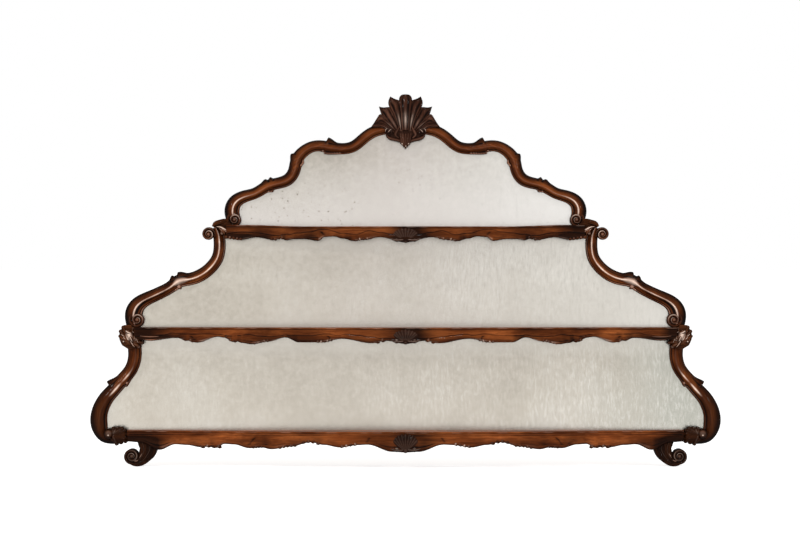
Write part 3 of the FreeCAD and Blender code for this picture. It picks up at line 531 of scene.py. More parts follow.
def blade(carving, edges, forward, crown, thick, burnish, steps=40):
    """Fluted leaf between two edges of (x, z) from root to tip, with forward as (share, forward)."""
    left, right = (smooth_curve(edge, steps) for edge in edges)
    share = np.linspace(0, 1, steps)
    across = np.linspace(0, 1, BLADE_ACROSS)
    ground = left[:, None, :] + (right - left)[:, None, :] * across[None, :, None]
    wide = np.linalg.norm(right - left, axis=1)
    ridge = np.cos(BLADE_FLUTES * math.pi * across) ** 2
    round_face = np.sin(math.pi * across) ** 0.5
    fade = ease((share - 0.55) / 0.4)[:, None]
    swell = (1 - fade) * (0.35 * round_face + 0.65 * ridge * round_face) + fade * round_face
    level = read(forward, share, 1)[:, None]
    front = level + crown * np.minimum(1, BLADE_FULL * wide / wide.max())[:, None] * swell
    face = np.stack([ground[..., 0], front, ground[..., 1]], axis=-1)
    # Painted highlight on the flute ridges near the root, and painted shade in the flutes, towards the tip
    # and at the edges
    inside = (0.25 + 0.75 * ridge ** 1.5) * np.sin(math.pi * across)
    lit = burnish * np.exp(-((share - 0.25) / 0.2) ** 2)[:, None] * inside
    dark = np.maximum(0.5 * (1 - ridge) + 0.4 * fade, (2 * across - 1) ** 6)
    loft_leaf(carving, face, level - thick, BLADE_BACK_STRIDE, lit, dark)


def dome(carving, x, forward, z, radius, height, thick=8, burnish=0, patina=0.2):
    """Round bead or boss."""
    turn = np.linspace(0, 2 * math.pi, DOME_AROUND, endpoint=False)
    rise = np.linspace(0, 0.5 * math.pi, DOME_RISES)[:-1]
    reach = np.concatenate([[radius], radius * np.cos(rise), [DOME_TIP * radius]])[:, None]
    level = np.concatenate([[-thick], height * np.sin(rise), [height]])[:, None]
    depth = np.broadcast_to(forward + level, (len(level), len(turn)))
    rows = np.stack([x + reach * np.cos(turn), depth, z + reach * np.sin(turn)], axis=-1)
    # Painted glint on the top, and painted shade towards the foot
    up = ease(level / height)
    carving.loft(rows, burnish * up ** 3, patina + (EDGE_PAINTED_SHADE - patina) * (1 - up))


def volute(carving, x, z, radius, start, turn, forward, back=1, crown=4, burnish=0.9):
    """Scroll end: a band that winds in to a raised eye."""
    wound = np.linspace(0, VOLUTE_TURNS, int(VOLUTE_STEPS * VOLUTE_TURNS))
    across = np.linspace(0, 1, VOLUTE_ACROSS)
    angle = math.radians(start) + turn * 2 * math.pi * wound

    def spiral(turns):
        return (radius * (1 - (1 - VOLUTE_EYE) * (turns / VOLUTE_TURNS) ** VOLUTE_CURL))[:, None]

    outer = spiral(wound)
    inner = spiral(np.minimum(wound + 1, VOLUTE_TURNS))
    reach = outer + (inner - outer) * across
    starts = ease(wound / VOLUTE_RUN_IN)[:, None]
    height = forward - VOLUTE_SINK + VOLUTE_STEP_UP * starts + VOLUTE_LIFT * (1 - reach / radius)
    height = height + crown * starts * (outer / radius) ** 0.5 * np.sin(math.pi * across ** 0.8) ** 0.7
    reach = np.concatenate([reach, inner, outer], axis=1)
    height = np.concatenate([height, np.full((len(wound), 2), back)], axis=1)
    rows = np.stack([
        x + reach * np.cos(angle)[:, None], height, z + reach * np.sin(angle)[:, None]], axis=-1)
    # Painted highlight along the band, stronger on one side and on the inner turns, over painted shade
    # towards the edges of the band
    line = np.concatenate([np.exp(-((across - 0.3) / 0.12) ** 2), [0, 0]])
    facing = 0.35 + 0.65 * np.cos(0.5 * (angle - 0.75 * math.pi)) ** 4
    inner_turn = 0.35 + 0.65 * ease((wound - 0.6) / 0.4)
    dark = np.concatenate([0.7 + 0.3 * np.abs(2 * across - 0.7).clip(0, 1) ** 1.5, [0.6, 0.6]])
    carving.loft(rows, burnish * line * (facing * inner_turn)[:, None] * starts, dark)
    level = forward + VOLUTE_LIFT - 4
    eye = 1.15 * VOLUTE_EYE * radius
    dome(carving, x, level, z, eye, VOLUTE_EYE_RISE, level - back, 0.25 * burnish, 0.5)


class RailLine:
    """Centre line of a right-hand rail, with its normal, width and place by knot."""

    def __init__(self, tier):
        knots = np.array(RAIL_KNOTS[tier], float)
        self.corner = (SHELF_HALF[tier] + RAIL_CORNER[tier], SHELF_TOP[tier])
        points = knots[:, :2] + np.array(self.corner)
        self.lengths = chord_lengths(points)
        self.values = np.column_stack([points, RAIL_WIDTH * knots[:, 2]])
        self.total = self.lengths[-1]

    def run(self, knot):
        """Distance along the rail of a knot, or of a place between two."""
        return np.interp(knot, np.arange(len(self.lengths)), self.lengths)

    def stations(self, runs):
        values = cubic(self.lengths, self.values, runs)
        ahead = cubic(self.lengths, self.values, np.minimum(runs + 0.5, self.total))
        behind = cubic(self.lengths, self.values, np.maximum(runs - 0.5, 0))
        tangent = (ahead - behind)[:, :2]
        tangent /= np.linalg.norm(tangent, axis=1)[:, None]
        normal = np.column_stack([tangent[:, 1], -tangent[:, 0]])
        return values[:, :2], normal, values[:, 2]


def rail_stand(line, tier, runs, edge):
    """How far the leaf steps of a rail stand out of one of its edges."""
    stand = np.zeros_like(runs)
    for knot, side, height, rise, fall in RAIL_STEPS_OUT[tier]:
        if side == edge:
            peak = line.run(knot)
            before = ease(1 - (peak - runs) / rise) ** STEP_POWER
            after = ease(1 - (runs - peak) / fall) ** STEP_POWER
            stand = np.maximum(stand, height * np.where(runs < peak, before, after))
    return stand


def carve_rail(tier):
    """Moulded scroll rail with its leaf steps, beads, rebate and volutes."""
    carving = Carving()
    line = RailLine(tier)
    runs = np.linspace(0, line.total, RAIL_STEPS)
    along = runs / line.total
    centre, normal, width = line.stations(runs)
    across = np.linspace(0, 1, RAIL_ACROSS)
    outer_step = rail_stand(line, tier, runs, 1)[:, None] * ease(1 - across / RAIL_EDGE)
    inner_step = rail_stand(line, tier, runs, -1)[:, None] * ease(1 - (1 - across) / RAIL_EDGE)
    stepped = np.maximum(outer_step, inner_step)
    place = width[:, None] * (0.5 - across) + (outer_step - inner_step)
    forward = RAIL_DEPTH * read(RAIL_PROFILE[tier], across, 1) * (1 + STEP_SWELL * stepped)

    glass, board = (
        np.minimum(depth, share * width) - 0.5 * width for depth, share, _ in (REBATE_GLASS, REBATE_BOARD))
    behind = [
        (place[:, -1], REBATE_GLASS[2]), (glass, REBATE_GLASS[2]), (glass, REBATE_BOARD[2]),
        (board, REBATE_BOARD[2]), (board, 0), (place[:, 0], 0)]
    place = np.column_stack([place] + [spot for spot, _ in behind])
    forward = np.column_stack([forward] + [np.full(RAIL_STEPS, level) for _, level in behind])
    rows = np.stack([
        centre[:, 0:1] + place * normal[:, 0:1], forward, centre[:, 1:2] + place * normal[:, 1:2]], axis=-1)

    # Painted highlight along the ridge and the inner bead, over patina and painted shade across the rail,
    # deeper at its edges and leaf steps
    shine = read(RAIL_PAINTED_HIGHLIGHT[tier], along, 1)[:, None]
    spread = read(RAIL_PAINTED_HIGHLIGHT[tier], along, 2)[:, None]
    ridge = shine * np.exp(-((across - RIDGE[tier]) / spread) ** 2)
    bead = BEAD_SHINE[tier] * (0.55 + 0.45 * np.sin(runs / BEAD_BEAT))
    ridge += bead[:, None] * np.exp(-((across - BEAD_PLACE) / BEAD_SPREAD) ** 2)
    fade = 1 - RAIL_FADE[tier] * (along ** 2)[:, None] * np.sin(math.pi * across)
    root = RAIL_ROOT[tier] * ease(1 - along / RAIL_ROOT_SHARE)
    shade = np.minimum(fade * read(RAIL_SHADE[tier], across, 1) + root[:, None], 1)
    shade *= 1 - 0.7 * np.minimum(ridge, 1)
    lit = np.zeros(rows.shape[:2])
    dark = np.full(rows.shape[:2], 0.7)
    lit[:, :RAIL_ACROSS] = ridge
    dark[:, :RAIL_ACROSS] = np.maximum(shade, np.minimum(STEP_PAINTED_SHADE * stepped, STEP_DARKEST))
    carving.loft(rows, lit, dark)

    # Beads with a painted glint on top
    for first, last, count, radius, inset in RAIL_BEADS[tier]:
        spots = np.linspace(line.run(first), line.run(last), count)
        stands = rail_stand(line, tier, spots, -1)
        for point, outward, wide, stand in zip(*line.stations(spots), stands):
            seat = point - outward * (0.5 * wide + stand - inset)
            dome(carving, seat[0], 0.72 * RAIL_DEPTH, seat[1], radius, 0.8 * radius, burnish=0.35)
    for out, up, radius, start in RAIL_VOLUTES[tier]:
        volute(carving, SHELF_HALF[tier] + out, SHELF_TOP[tier] + up, radius, start, -1, RAIL_DEPTH)
    return carving


def shelf_front(tier, x):
    share = np.minimum(np.abs(x) / SHELF_HALF[tier], 1) ** BOW_POWER
    swell = 0.5 * (1 + np.cos(math.pi * share))
    return SHELF_END_DEPTH + (SHELF_DEPTH[tier] - SHELF_END_DEPTH) * swell


def wave(table, share):
    """Smooth wave through the places of a table of (share, value)."""
    table = np.array(table)
    first = np.clip(np.searchsorted(table[:, 0], share) - 1, 0, len(table) - 2)
    turn = (share - table[first, 0]) / (table[first + 1, 0] - table[first, 0])
    return table[first, 1] + (table[first + 1, 1] - table[first, 1]) * 0.5 * (1 - np.cos(math.pi * turn))


def apron_drop(tier, x):
    """Depth of the scalloped apron below the shelf top."""
    return wave(APRON_DROPS[tier], np.minimum(np.abs(x) / SHELF_HALF[tier], 1))


def carve_apron(tier):
    """Apron with a lip, a plain upper band, a groove and carved lobes along its lower edge."""
    carving = Carving()
    half = SHELF_HALF[tier]
    x = np.linspace(-half, half, APRON_STEPS)
    out = np.abs(x) / half
    drop = apron_drop(tier, x)
    depths = np.array(APRON_DROPS[tier])[:, 1]
    lobe = (drop - depths.min()) / (depths.max() - depths.min())
    border = np.minimum(wave(APRON_BORDERS[tier], out), drop - APRON_LEAST_LOBE)
    front = shelf_front(tier, x)
    slope = np.gradient(drop, x) * np.sign(x)
    outer_flank = np.clip(-APRON_FLANK * slope, 0, 1)
    inner_flank = np.clip(APRON_FLANK * slope, 0, 1)

    # Face of the apron: how far down each point lies, and how far it stands out
    lip = np.linspace(0, 1, APRON_LIP_POINTS)
    body = np.linspace(0, 1, APRON_FACE_POINTS)
    start = APRON_LIP + APRON_LIP_GAP
    lip_down = np.broadcast_to(APRON_LIP * lip, (len(x), len(lip)))
    down = np.concatenate([lip_down, start + (drop - start)[:, None] * body], axis=1)
    over = -1.2 + 1.6 * np.sin(math.pi * (0.12 + 0.88 * lip))
    round_face = -1.7 + 1.5 * np.sin(math.pi * (0.1 + 0.78 * body)) ** 0.7 - 3.5 * body ** 10
    below = down - border[:, None]
    under = np.clip(below / (drop - border)[:, None], 0, 1)
    crease = APRON_CREASE[tier] * (0.6 + 0.4 * outer_flank)
    groove = np.exp(-(below / GROOVE_HALF) ** 2)
    rim = np.exp(-((under - RIM_PLACE) / RIM_HALF) ** 2)
    proud = np.concatenate([over, round_face]) + lobe[:, None] * (2 * np.sin(math.pi * under) + 1.4 * rim)
    proud -= crease[:, None] * groove

    # Folds, each a hollow with painted shade beside a swelling
    painted_shade = np.zeros(down.shape)
    lobes = ease(under * 3)
    for share, lean, depth in APRON_FOLDS[tier]:
        slant = (np.abs(x) - share * half)[:, None] - lean * (down - APRON_BAND)
        wide = FOLD_HALF + depth
        fold = np.exp(-(slant / wide) ** 2) * lobes
        proud += 0.5 * depth * np.exp(-((slant - 2 * wide) / wide) ** 2) * lobes - depth * fold
        painted_shade = np.maximum(painted_shade, (0.1 + 0.25 * depth) * fold)

    rise = APRON_RISE[tier] * ease((out - 0.55) / 0.35)
    z = SHELF_TOP[tier] - down + rise[:, None] * (1 - down / drop[:, None])
    forward = front[:, None] + np.minimum(proud, APRON_PROUDEST)
    back = (front - APRON_THICKNESS)[:, None]
    rows_f = np.concatenate([forward, back, back], axis=1)
    rows_z = np.concatenate([z, z[:, -1:] + 1, z[:, :1]], axis=1)
    rows_x = np.broadcast_to(x[:, None], rows_f.shape)

    # Painted glints on the lip and on the inner flanks of the lobes
    glow = APRON_CREASE[tier] / 2.4 * (0.05 + 0.85 * inner_flank) * lobe ** 0.5
    shine = glow[:, None] * rim
    shine[:, 2] += 0.35 * ease(0.5 + 0.5 * np.sin(x / 17) + 0.4 * np.sin(x / 6.1)) ** 2

    # Darker ends and middle under a slow figure; painted shade in folds, groove, outer flanks, low down and
    # at the edges
    figure = 0.15 * np.sin(x / 53 + 1) + 0.1 * np.sin(x / 21)
    ends = ease((out - 0.8) / 0.12)
    upper = APRON_SHADE[tier] + figure + 0.12 * ends
    upper += 0.28 * ease((out - 0.9) / 0.09) + 0.35 * ease(1 - out / 0.14)
    lower = upper + 0.1 + 0.2 * outer_flank + 0.4 * ends
    tone = np.clip(upper[:, None] + (lower - upper)[:, None] * ease(under * 2 + 0.2), 0, 0.95)
    edge = np.concatenate([np.linspace(0.1, 0.3, len(lip)), 0.25 * (1 - body) ** 10 + 0.9 * body ** 9])
    shade = np.maximum(np.maximum(edge, painted_shade), (0.32 * crease * outer_flank)[:, None] * groove)
    shade += (1 - shade) * tone
    lit = np.zeros(rows_f.shape)
    dark = np.full(rows_f.shape, 0.9)
    lit[:, :-2] = shine
    dark[:, :-2] = shade * (1 - 0.8 * np.minimum(shine, 1))
    carving.loft(np.stack([rows_x, rows_f, rows_z], axis=-1), lit, dark)

    for side in SIDES.values():
        for first, last, leaves, lean, glint in APRON_RUFFLES[tier]:
            wide = 0.65 * half * (first - last) / (leaves - 1)
            for share, shine in zip(np.linspace(first, last, leaves), RUFFLE_GLINTS):
                # Each ruffle leaf carries a painted glint
                apron_ruffle(carving, tier, side, share * half, lean, wide, glint * shine)
        for points in APRON_ROLLS[tier]:
            apron_roll(carving, tier, side, points)
    return carving


def apron_roll(carving, tier, side, points):
    """One thin edge that rolls over at the end of an apron."""
    shares, drops = np.array(points).T
    places = side * shares * SHELF_HALF[tier]
    spine = list(zip(places, shelf_front(tier, places) - 1.8, SHELF_TOP[tier] - drops))
    halves = [(0, 0.8), (0.5, 2.4), (1, 0.6)]
    # The rolled edge carries a painted highlight
    petal(carving, spine, halves, crown=2.5, thick=6, steps=14, burnish=0.34, patina=0.75)


def apron_ruffle(carving, tier, side, out, lean, wide, shine):
    """One small leaf that turns over the lower edge of an apron."""
    steps = lean * RUFFLE_LENGTH * np.array([-0.4, 0, 0.6])
    places = side * np.clip(out - steps, 0, SHELF_HALF[tier])
    low = SHELF_TOP[tier] - apron_drop(tier, places[:1])[0]
    seats = shelf_front(tier, places) - np.array([5.5, 3, 5])
    rises = low + RUFFLE_LENGTH * np.array([-0.1, 0.35, 1])
    halves = [(0, 0.5 * wide), (0.4, wide), (0.8, 0.6 * wide), (1, 0.4)]
    spine = list(zip(places, seats, rises))
    petal(carving, spine, halves, crown=3.2, thick=6, steps=12, burnish=shine, patina=0.82)


def carve_shell(tier):
    """Fluted fan on the middle of an apron, between two leaves and over three small lobes."""
    carving = Carving()
    front = SHELF_DEPTH[tier] + SHELL_SEAT[tier]
    drop = float(apron_drop(tier, np.zeros(1))[0])
    low = SHELF_TOP[tier] - drop
    foot = low + 7
    reach = drop - 11
    flute = [(0, 2.2), (0.6, 5), (0.9, 5.2), (1, 1.5)]
    for turn in np.radians(np.linspace(-SHELL_SPREAD, SHELL_SPREAD, SHELL_FLUTES)):
        tip_x = SHELL_HALF * math.sin(turn)
        tip_z = foot + reach * (0.45 + 0.55 * math.cos(turn))
        middle = (0.62 * tip_x, front + 1.2, 0.5 * (foot + tip_z))
        spine = [(0.2 * tip_x, front, foot), middle, (tip_x, front - 0.5, tip_z)]
        petal(carving, spine, flute, crown=2.2, thick=8, burnish=0.1, patina=0.68)
    leaf = [(0, 2.5), (0.5, 3.5), (1, 0.6)]
    for side in SIDES.values():
        tip = (side * 42, front - 2, foot + 5)
        spine = [(side * 6, front, foot), (side * 24, front, foot - 1), tip]
        petal(carving, spine, leaf, crown=3, thick=8, burnish=0.25, patina=0.62)
    # Three small lobes with painted glints
    for x, rise, burnish in ((-22, 7.5, 0.35), (0, 5, 0.1), (22, 7.5, 0.2)):
        dome(carving, x, front - 2, low + rise, 6.5, 4, 6, burnish, 0.6)
    return carving


def cap_leaf(carving, tier, points, halves, **looks):
    """Leaf of a corner cap on the right, with points as (outward, up, forward of the shelf's end)."""
    spine = [
        (SHELF_HALF[tier] + out, SHELF_END_DEPTH - 8 + forward, SHELF_TOP[tier] + up)
        for out, up, forward in points]
    petal(carving, spine, halves, thick=20, **looks)


def cap_bead(carving, tier, out, up, radius, burnish=0, forward=-9, patina=0.2):
    x = SHELF_HALF[tier] + out
    z = SHELF_TOP[tier] + up
    dome(carving, x, SHELF_END_DEPTH + forward, z, radius, 0.8 * radius, 18, burnish, patina)


def cap_fan(carving, tier, root, tips, bow, halves, patina=0):
    """Leaves that spring from one root and turn over at their tips, as (outward, up, painted highlight)."""
    for out, up, burnish in tips:
        middle = (0.5 * (root[0] + out) + bow[0], 0.5 * (root[1] + up) + bow[1], 3 + 2 * burnish)
        points = [(*root, 1), middle, (out, up, -3)]
        cap_leaf(carving, tier, points, halves, crown=4, burnish=burnish, patina=patina)
        cap_bead(carving, tier, out, up, 4.8, burnish, -12, max(patina, 0.2))


def carve_middle_cap():
    """Acanthus cap that fans out of the rail over the corner of the middle shelf."""
    carving = Carving()
    base = [(0, 11, 8), (0.25, 22, 16), (0.5, 25, 24), (0.75, 22, 25), (1, 8, 13)]
    mass = [(15, 6, -6), (13, -22, -3), (5, -53, -6)]
    cap_leaf(carving, "middle", mass, base, crown=4, patina=0.35)
    narrow = [(0, 2.5), (0.5, 4.5), (0.85, 4.5), (1, 1.5)]
    outer = (
        (27.5, 0, 0.05), (34, -10, 0.1), (35, -22, 0.05), (30.5, -32, 0.1), (22, -40, 0.05))
    inner = (
        (3, -3, 0.1), (-9, -13, 0.2), (-20, -27, 0.1), (-19, -38, 0.1), (-11, -48, 0.2))
    cap_fan(carving, "middle", (8, -42), outer, (1, 2), narrow)
    cap_fan(carving, "middle", (4, -40), inner, (2, 3), narrow)
    short = [(0, 0.6), (0.35, 1), (0.75, 0.9), (1, 0.3)]
    # Strokes of painted highlight over the cap
    strokes = (
        ([(18, -12, 4), (16.5, -22, 6), (12, -34, 4)], 7, 0.75),
        ([(20, -8, 6), (13, -12, 8), (5, -15, 6)], 5.5, 0.75),
        ([(31, -16.5, 4), (27, -20, 5.5), (23, -22.5, 5)], 2.6, 0.7),
        ([(26, -24, 5), (23, -27, 6.5), (20, -30, 5)], 2.6, 0.7),
        ([(11, -20, 7), (7, -27, 9), (4, -35, 7)], 3.8, 0.75),
        ([(9, -33, 5), (4, -41, 6), (-2, -49, 3)], 2.6, 0.7),
        ([(0, -22, 4), (-3, -28, 6), (-4, -35, 4)], 2.6, 0.45),
        ([(-6, -27, 4), (-8, -32, 6), (-11, -39, 3)], 2.4, 0.5),
        ([(4, -10, 4), (-3, -14, 5), (-9, -17, 3)], 2.2, 0.5))
    patch = [(0, 5), (0.4, 8.5), (0.75, 7), (1, 3)]
    # Broad patch of painted highlight on the face of the cap
    worn_face = [(16, -8, 6), (10.5, -20, 8), (6, -33, 6)]
    cap_leaf(carving, "middle", worn_face, patch, crown=2, burnish=0.75, worn=0.7)
    for points, half, burnish in strokes:
        halves = [(share, half * wide) for share, wide in short]
        cap_leaf(carving, "middle", points, halves, crown=2.5, steps=16, burnish=burnish)
    cap_bead(carving, "middle", 26, -35, 2.6, 0.7, -2)
    return carving


def carve_top_cap():
    """Small leaf that curls up between the volutes at the end of the top shelf."""
    carving = Carving()
    base = [(0, 6, 6), (0.35, 10, 8), (0.7, 17, 13), (1, 12, 14)]
    mass = [(33, 4, -6), (15, 5, -4), (-6, -5, -6)]
    cap_leaf(carving, "top", mass, base, crown=3)
    arch = [(0, 3), (0.3, 5.5), (0.7, 5.5), (1, 4.5)]
    over = [(34, 0, -2), (28, 7.5, 1), (18, 11.5, 1), (7, 14.5, -2), (-3, 16, -6)]
    cap_leaf(carving, "top", over, arch, crown=3.5, ribs=2)
    # A leaf of painted highlight
    bright = [(24, 0, 0), (14, -1, 4), (4, -6, 4), (-6, -11, 0)]
    slim = [(0, 1.5), (0.4, 4.5), (0.7, 4), (1, 1)]
    cap_leaf(carving, "top", bright, slim, crown=3.5, burnish=0.9)
    narrow = [(0, 2), (0.6, 4), (1, 1)]
    tips = ((11, -16, 0.3), (2, -23, 0.1), (-9, -20, 0.4))
    cap_fan(carving, "top", (18, -4), tips, (-2, 2), narrow)
    return carving


def carve_bottom_cap():
    """Bossed leaf over the corner of the bottom shelf."""
    carving = Carving()
    base = [(0, 12, 12), (0.3, 21, 17), (0.7, 20, 17), (1, 15, 12)]
    mass = [(44, -9, -6), (24, -11, -3), (6, -12, -6)]
    cap_leaf(carving, "bottom", mass, base, crown=3)
    narrow = [(0, 3), (0.5, 5.5), (0.85, 5.5), (1, 3.5)]
    tips = (
        (36, 5, 0.1), (26, 5.5, 0.2), (15, 5, 0.1), (7, 0, 0.05), (4, -9, 0),
        (4, -19, 0), (6, -27, 0), (17, -30, 0), (28, -33, 0.1))
    cap_fan(carving, "bottom", (38, -10), tips, (0, 2), narrow, 0.6)
    cap_bead(carving, "bottom", 47, -8, 13, 0, -11, 0.85)
    cap_bead(carving, "bottom", 47, -7, 10.5, 0.15, -4, 0.3)
    # Painted glint on the boss
    cap_bead(carving, "bottom", 47.5, -11, 3, 0.7, 2)
    return carving


def carve_crest_shell():
    """Five fluted lobes that fan out of a hollow."""
    carving = Carving()

    def lobe(left, right, forward, crown, burnish):
        edges = [[(x, CREST_Z + rise) for x, rise in edge] for edge in (left, right)]
        blade(carving, edges, forward, crown, 24, burnish)

    bib = [(0, 30), (0.35, 46), (0.7, 46.5), (0.83, 40), (0.9, 32), (0.95, 21), (1, 14)]
    spine = [(0, 26, CREST_Z + 22), (0, 34, CREST_Z - 8), (0, 31, CREST_Z - 38)]
    petal(carving, spine, bib, crown=2, thick=24, patina=0.6)
    low = ((26, -10), (42, 8), (56, 26), (62, 37), (64, 44), (66.5, 52.5))
    high = ((12, -8), (22, 20), (32, 40), (39, 50), (54, 50), (66.5, 52.5))
    outside = ((16, -10), (25, 20), (37.5, 46), (43, 60), (42, 68), (38, 77.5))
    inside = ((6, -10), (7, 20), (9, 48), (14, 66), (26, 71), (38, 77.5))
    curl = ((15, 2), (21, -9), (25, -19), (17, -27))
    slim = [(0, 2), (0.5, 4), (1, 2)]
    for side in SIDES.values():
        # Lobes with painted highlights low on their ridges
        for first, second, level, burnish in ((low, high, 35, 0.15), (outside, inside, 38, 0.4)):
            left = [(side * x, rise) for x, rise in first]
            right = [(side * x, rise) for x, rise in second]
            lobe(left, right, [(0, level), (0.5, level - 1), (1, level - 10)], 5.5, burnish)
        spine = [(side * x, 38, CREST_Z + rise) for x, rise in curl]
        petal(carving, spine, slim, crown=4, thick=10, burnish=0.08)
    middle = ((9, -7), (11, 10), (13.5, 42), (16, 62), (15.5, 74), (10, 81), (0, 82.5))
    mirrored = [(-x, rise) for x, rise in middle]
    lobe(mirrored, middle, [(0, 42), (0.4, 40), (1, 29)], 6, 0.5)
    return carving


def carve_crest_leaf():
    """Right-hand leaf of the crest: a small volute under two leaves that lie along the rail."""
    carving = Carving()
    volute(carving, 41, CREST_Z - 10.5, 11.5, 100, -1, 42, back=20, crown=3, burnish=0.25)
    upper = ((22, -8), (38, 12), (52, 25), (63, 33), (71, 24), (81, 8))
    middle = ((26, -12), (42, 0), (57, 9), (70, 10), (76, 9), (81, 8))
    lower = ((40, -14), (50, -6), (62, -1), (72, 0), (80, 0), (86, 1))
    for first, second, level in ((middle, upper, 34), (lower, middle, 37)):
        edges = [[(x, CREST_Z + rise) for x, rise in edge] for edge in (first, second)]
        blade(carving, edges, [(0, level), (0.5, level + 2), (1, level - 6)], 4, 12, 0.22)
    # Painted glints beside the volute
    glint = [(0, 0.8), (0.5, 2.4), (1, 0.6)]
    for line in (((35, -5), (39, -8), (44, -13)), ((46, -3), (49, -6), (50, -11))):
        spine = [(x, 45, CREST_Z + rise) for x, rise in line]
        petal(carving, spine, glint, crown=2, thick=12, steps=12, burnish=0.6)
    under = ((48, 36, -13), (44, 38, -24), (30, 39, -30), (13, 38, -34))
    spine = [(x, forward, CREST_Z + rise) for x, forward, rise in under]
    slim = [(0, 2), (0.5, 4), (1, 3)]
    petal(carving, spine, slim, crown=3, thick=12, burnish=0.1)
    return carving


def carve_crest_drop():
    """Pendant under the crest: five small flutes that draw together over beads."""
    carving = Carving()
    flutes = (
        (-13, -9, -44), (13, 9, -44), (-7, -4.5, -49), (7, 4.5, -49), (0, 0, -54))
    halves = [(0, 3), (0.5, 3.8), (0.85, 3.2), (1, 0.8)]
    for root, end, tip in flutes:
        middle = (0.5 * (root + end), 41, CREST_Z - 29)
        spine = [(root, 38, CREST_Z - 16), middle, (end, 36, CREST_Z + tip)]
        petal(carving, spine, halves, crown=3.5, thick=14, burnish=0.05, patina=0.35)
    # Beads with painted glints
    for x, rise in ((-8.5, -41.5), (0.5, -47), (7.5, -41)):
        dome(carving, x, 39.5, CREST_Z + rise, 2.6, 3, burnish=0.6)
    return carving


def carve_foot():
    """Right-hand scroll foot: an acanthus neck that winds into a roll."""
    carving = Carving()
    level = FOOT_DEPTH - FOOT_INSET
    spine = [(x, level, z) for x, z in FOOT_SPINE]
    petal(carving, spine, FOOT_HALVES, crown=4, thick=level, steps=40, patina=0.75)
    vein = [(0, 3.5), (0.6, 3), (1, 0.5)]
    for shift, burnish in ((-16, 0), (-5, 0.1), (6, 0), (17, 0.08)):
        rib = [
            (x + shift * (1 - 0.17 * step), level + 2, z) for step, (x, z) in enumerate(FOOT_SPINE[:-1])]
        petal(carving, rib, vein, crown=3, thick=10, steps=30, burnish=burnish, patina=0.82)
    x, z, radius = FOOT_ROLL
    volute(carving, x, z, radius, -120, 1, FOOT_DEPTH - 1, back=0, burnish=0.55)
    # Painted glints on the roll
    glint = [(0, 0.6), (0.5, 2), (1, 0.5)]
    for line in ([(665, 17), (670, 14.5), (676, 14.5)], [(656, 33), (659, 28), (662, 22)]):
        spine = [(x, FOOT_DEPTH - 1, z) for x, z in line]
        petal(carving, spine, glint, crown=2, thick=10, steps=12, burnish=0.5)
    return carving


class Nodes:
    """Node tree under construction, with short calls for what the materials use."""

    def __init__(self, owner):
        owner.use_nodes = True
        self.owner = owner
        self.tree = owner.node_tree
        self.shader = self.tree.nodes.get("Principled BSDF")

    def add(self, kind, **settings):
        node = self.tree.nodes.new(kind)
        for key, value in settings.items():
            setattr(node, key, value)
        return node

    def put(self, value, socket):
        """Link a socket to the one given, or set its value."""
        if isinstance(value, bpy.types.NodeSocket):
            self.tree.links.new(value, socket)
        else:
            socket.default_value = value

    def feed(self, node, **inputs):
        """Set or link the named inputs of a node."""
        for key, value in inputs.items():
            self.put(value, node.inputs[key.replace("_", " ")])
        return node

    def fill(self, node, *values):
        """Set or link the first inputs of a node, in their order."""
        for value, socket in zip(values, node.inputs):
            self.put(value, socket)
        return node

    def noise(self, vector, scale, shift=(0, 0, 0), detail=4, roughness=0.55, distortion=0):
        """Noise over a vector that is drawn out by a scale and moved by a shift."""
        place = self.feed(self.add("ShaderNodeMapping"), Vector=vector, Scale=scale, Location=shift)
        node = self.feed(self.add("ShaderNodeTexNoise"), Vector=place.outputs["Vector"], Scale=1)
        self.feed(node, Detail=detail, Roughness=roughness, Distortion=distortion)
        return node.outputs["Fac"]

    def attribute(self, name):
        return self.add("ShaderNodeAttribute", attribute_name=name).outputs

    def place(self):
        return self.add("ShaderNodeTexCoord").outputs["Object"]

    def math(self, operation, *values):
        return self.fill(self.add("ShaderNodeMath", operation=operation), *values).outputs["Value"]

    def times(self, first, second):
        return self.math("MULTIPLY", first, second)

    def ramp(self, value, stops):
        node = self.feed(self.add("ShaderNodeValToRGB"), Fac=value)
        elements = node.color_ramp.elements
        while len(elements) < len(stops):
            elements.new(0.5)
        for element, (place, colour) in zip(elements, stops):
            element.position = place
            element.color = colour
        return node.outputs["Color"]

    def span(self, value, low, high, new_low=0, new_high=1):
        """Value brought from one range into another, and held inside it."""
        node = self.add("ShaderNodeMapRange", clamp=True)
        return self.fill(node, value, low, high, new_low, new_high).outputs["Result"]

    def mix(self, share, first, second):
        node = self.add("ShaderNodeMix", data_type="RGBA")
        for value, index in ((share, 0), (first, 6), (second, 7)):
            self.put(value, node.inputs[index])
        return node.outputs[2]

    def bump(self, height, strength, distance):
        node = self.feed(self.add("ShaderNodeBump"), Height=height, Strength=strength, Distance=distance)
        self.put(node.outputs["Normal"], self.shader.inputs["Normal"])


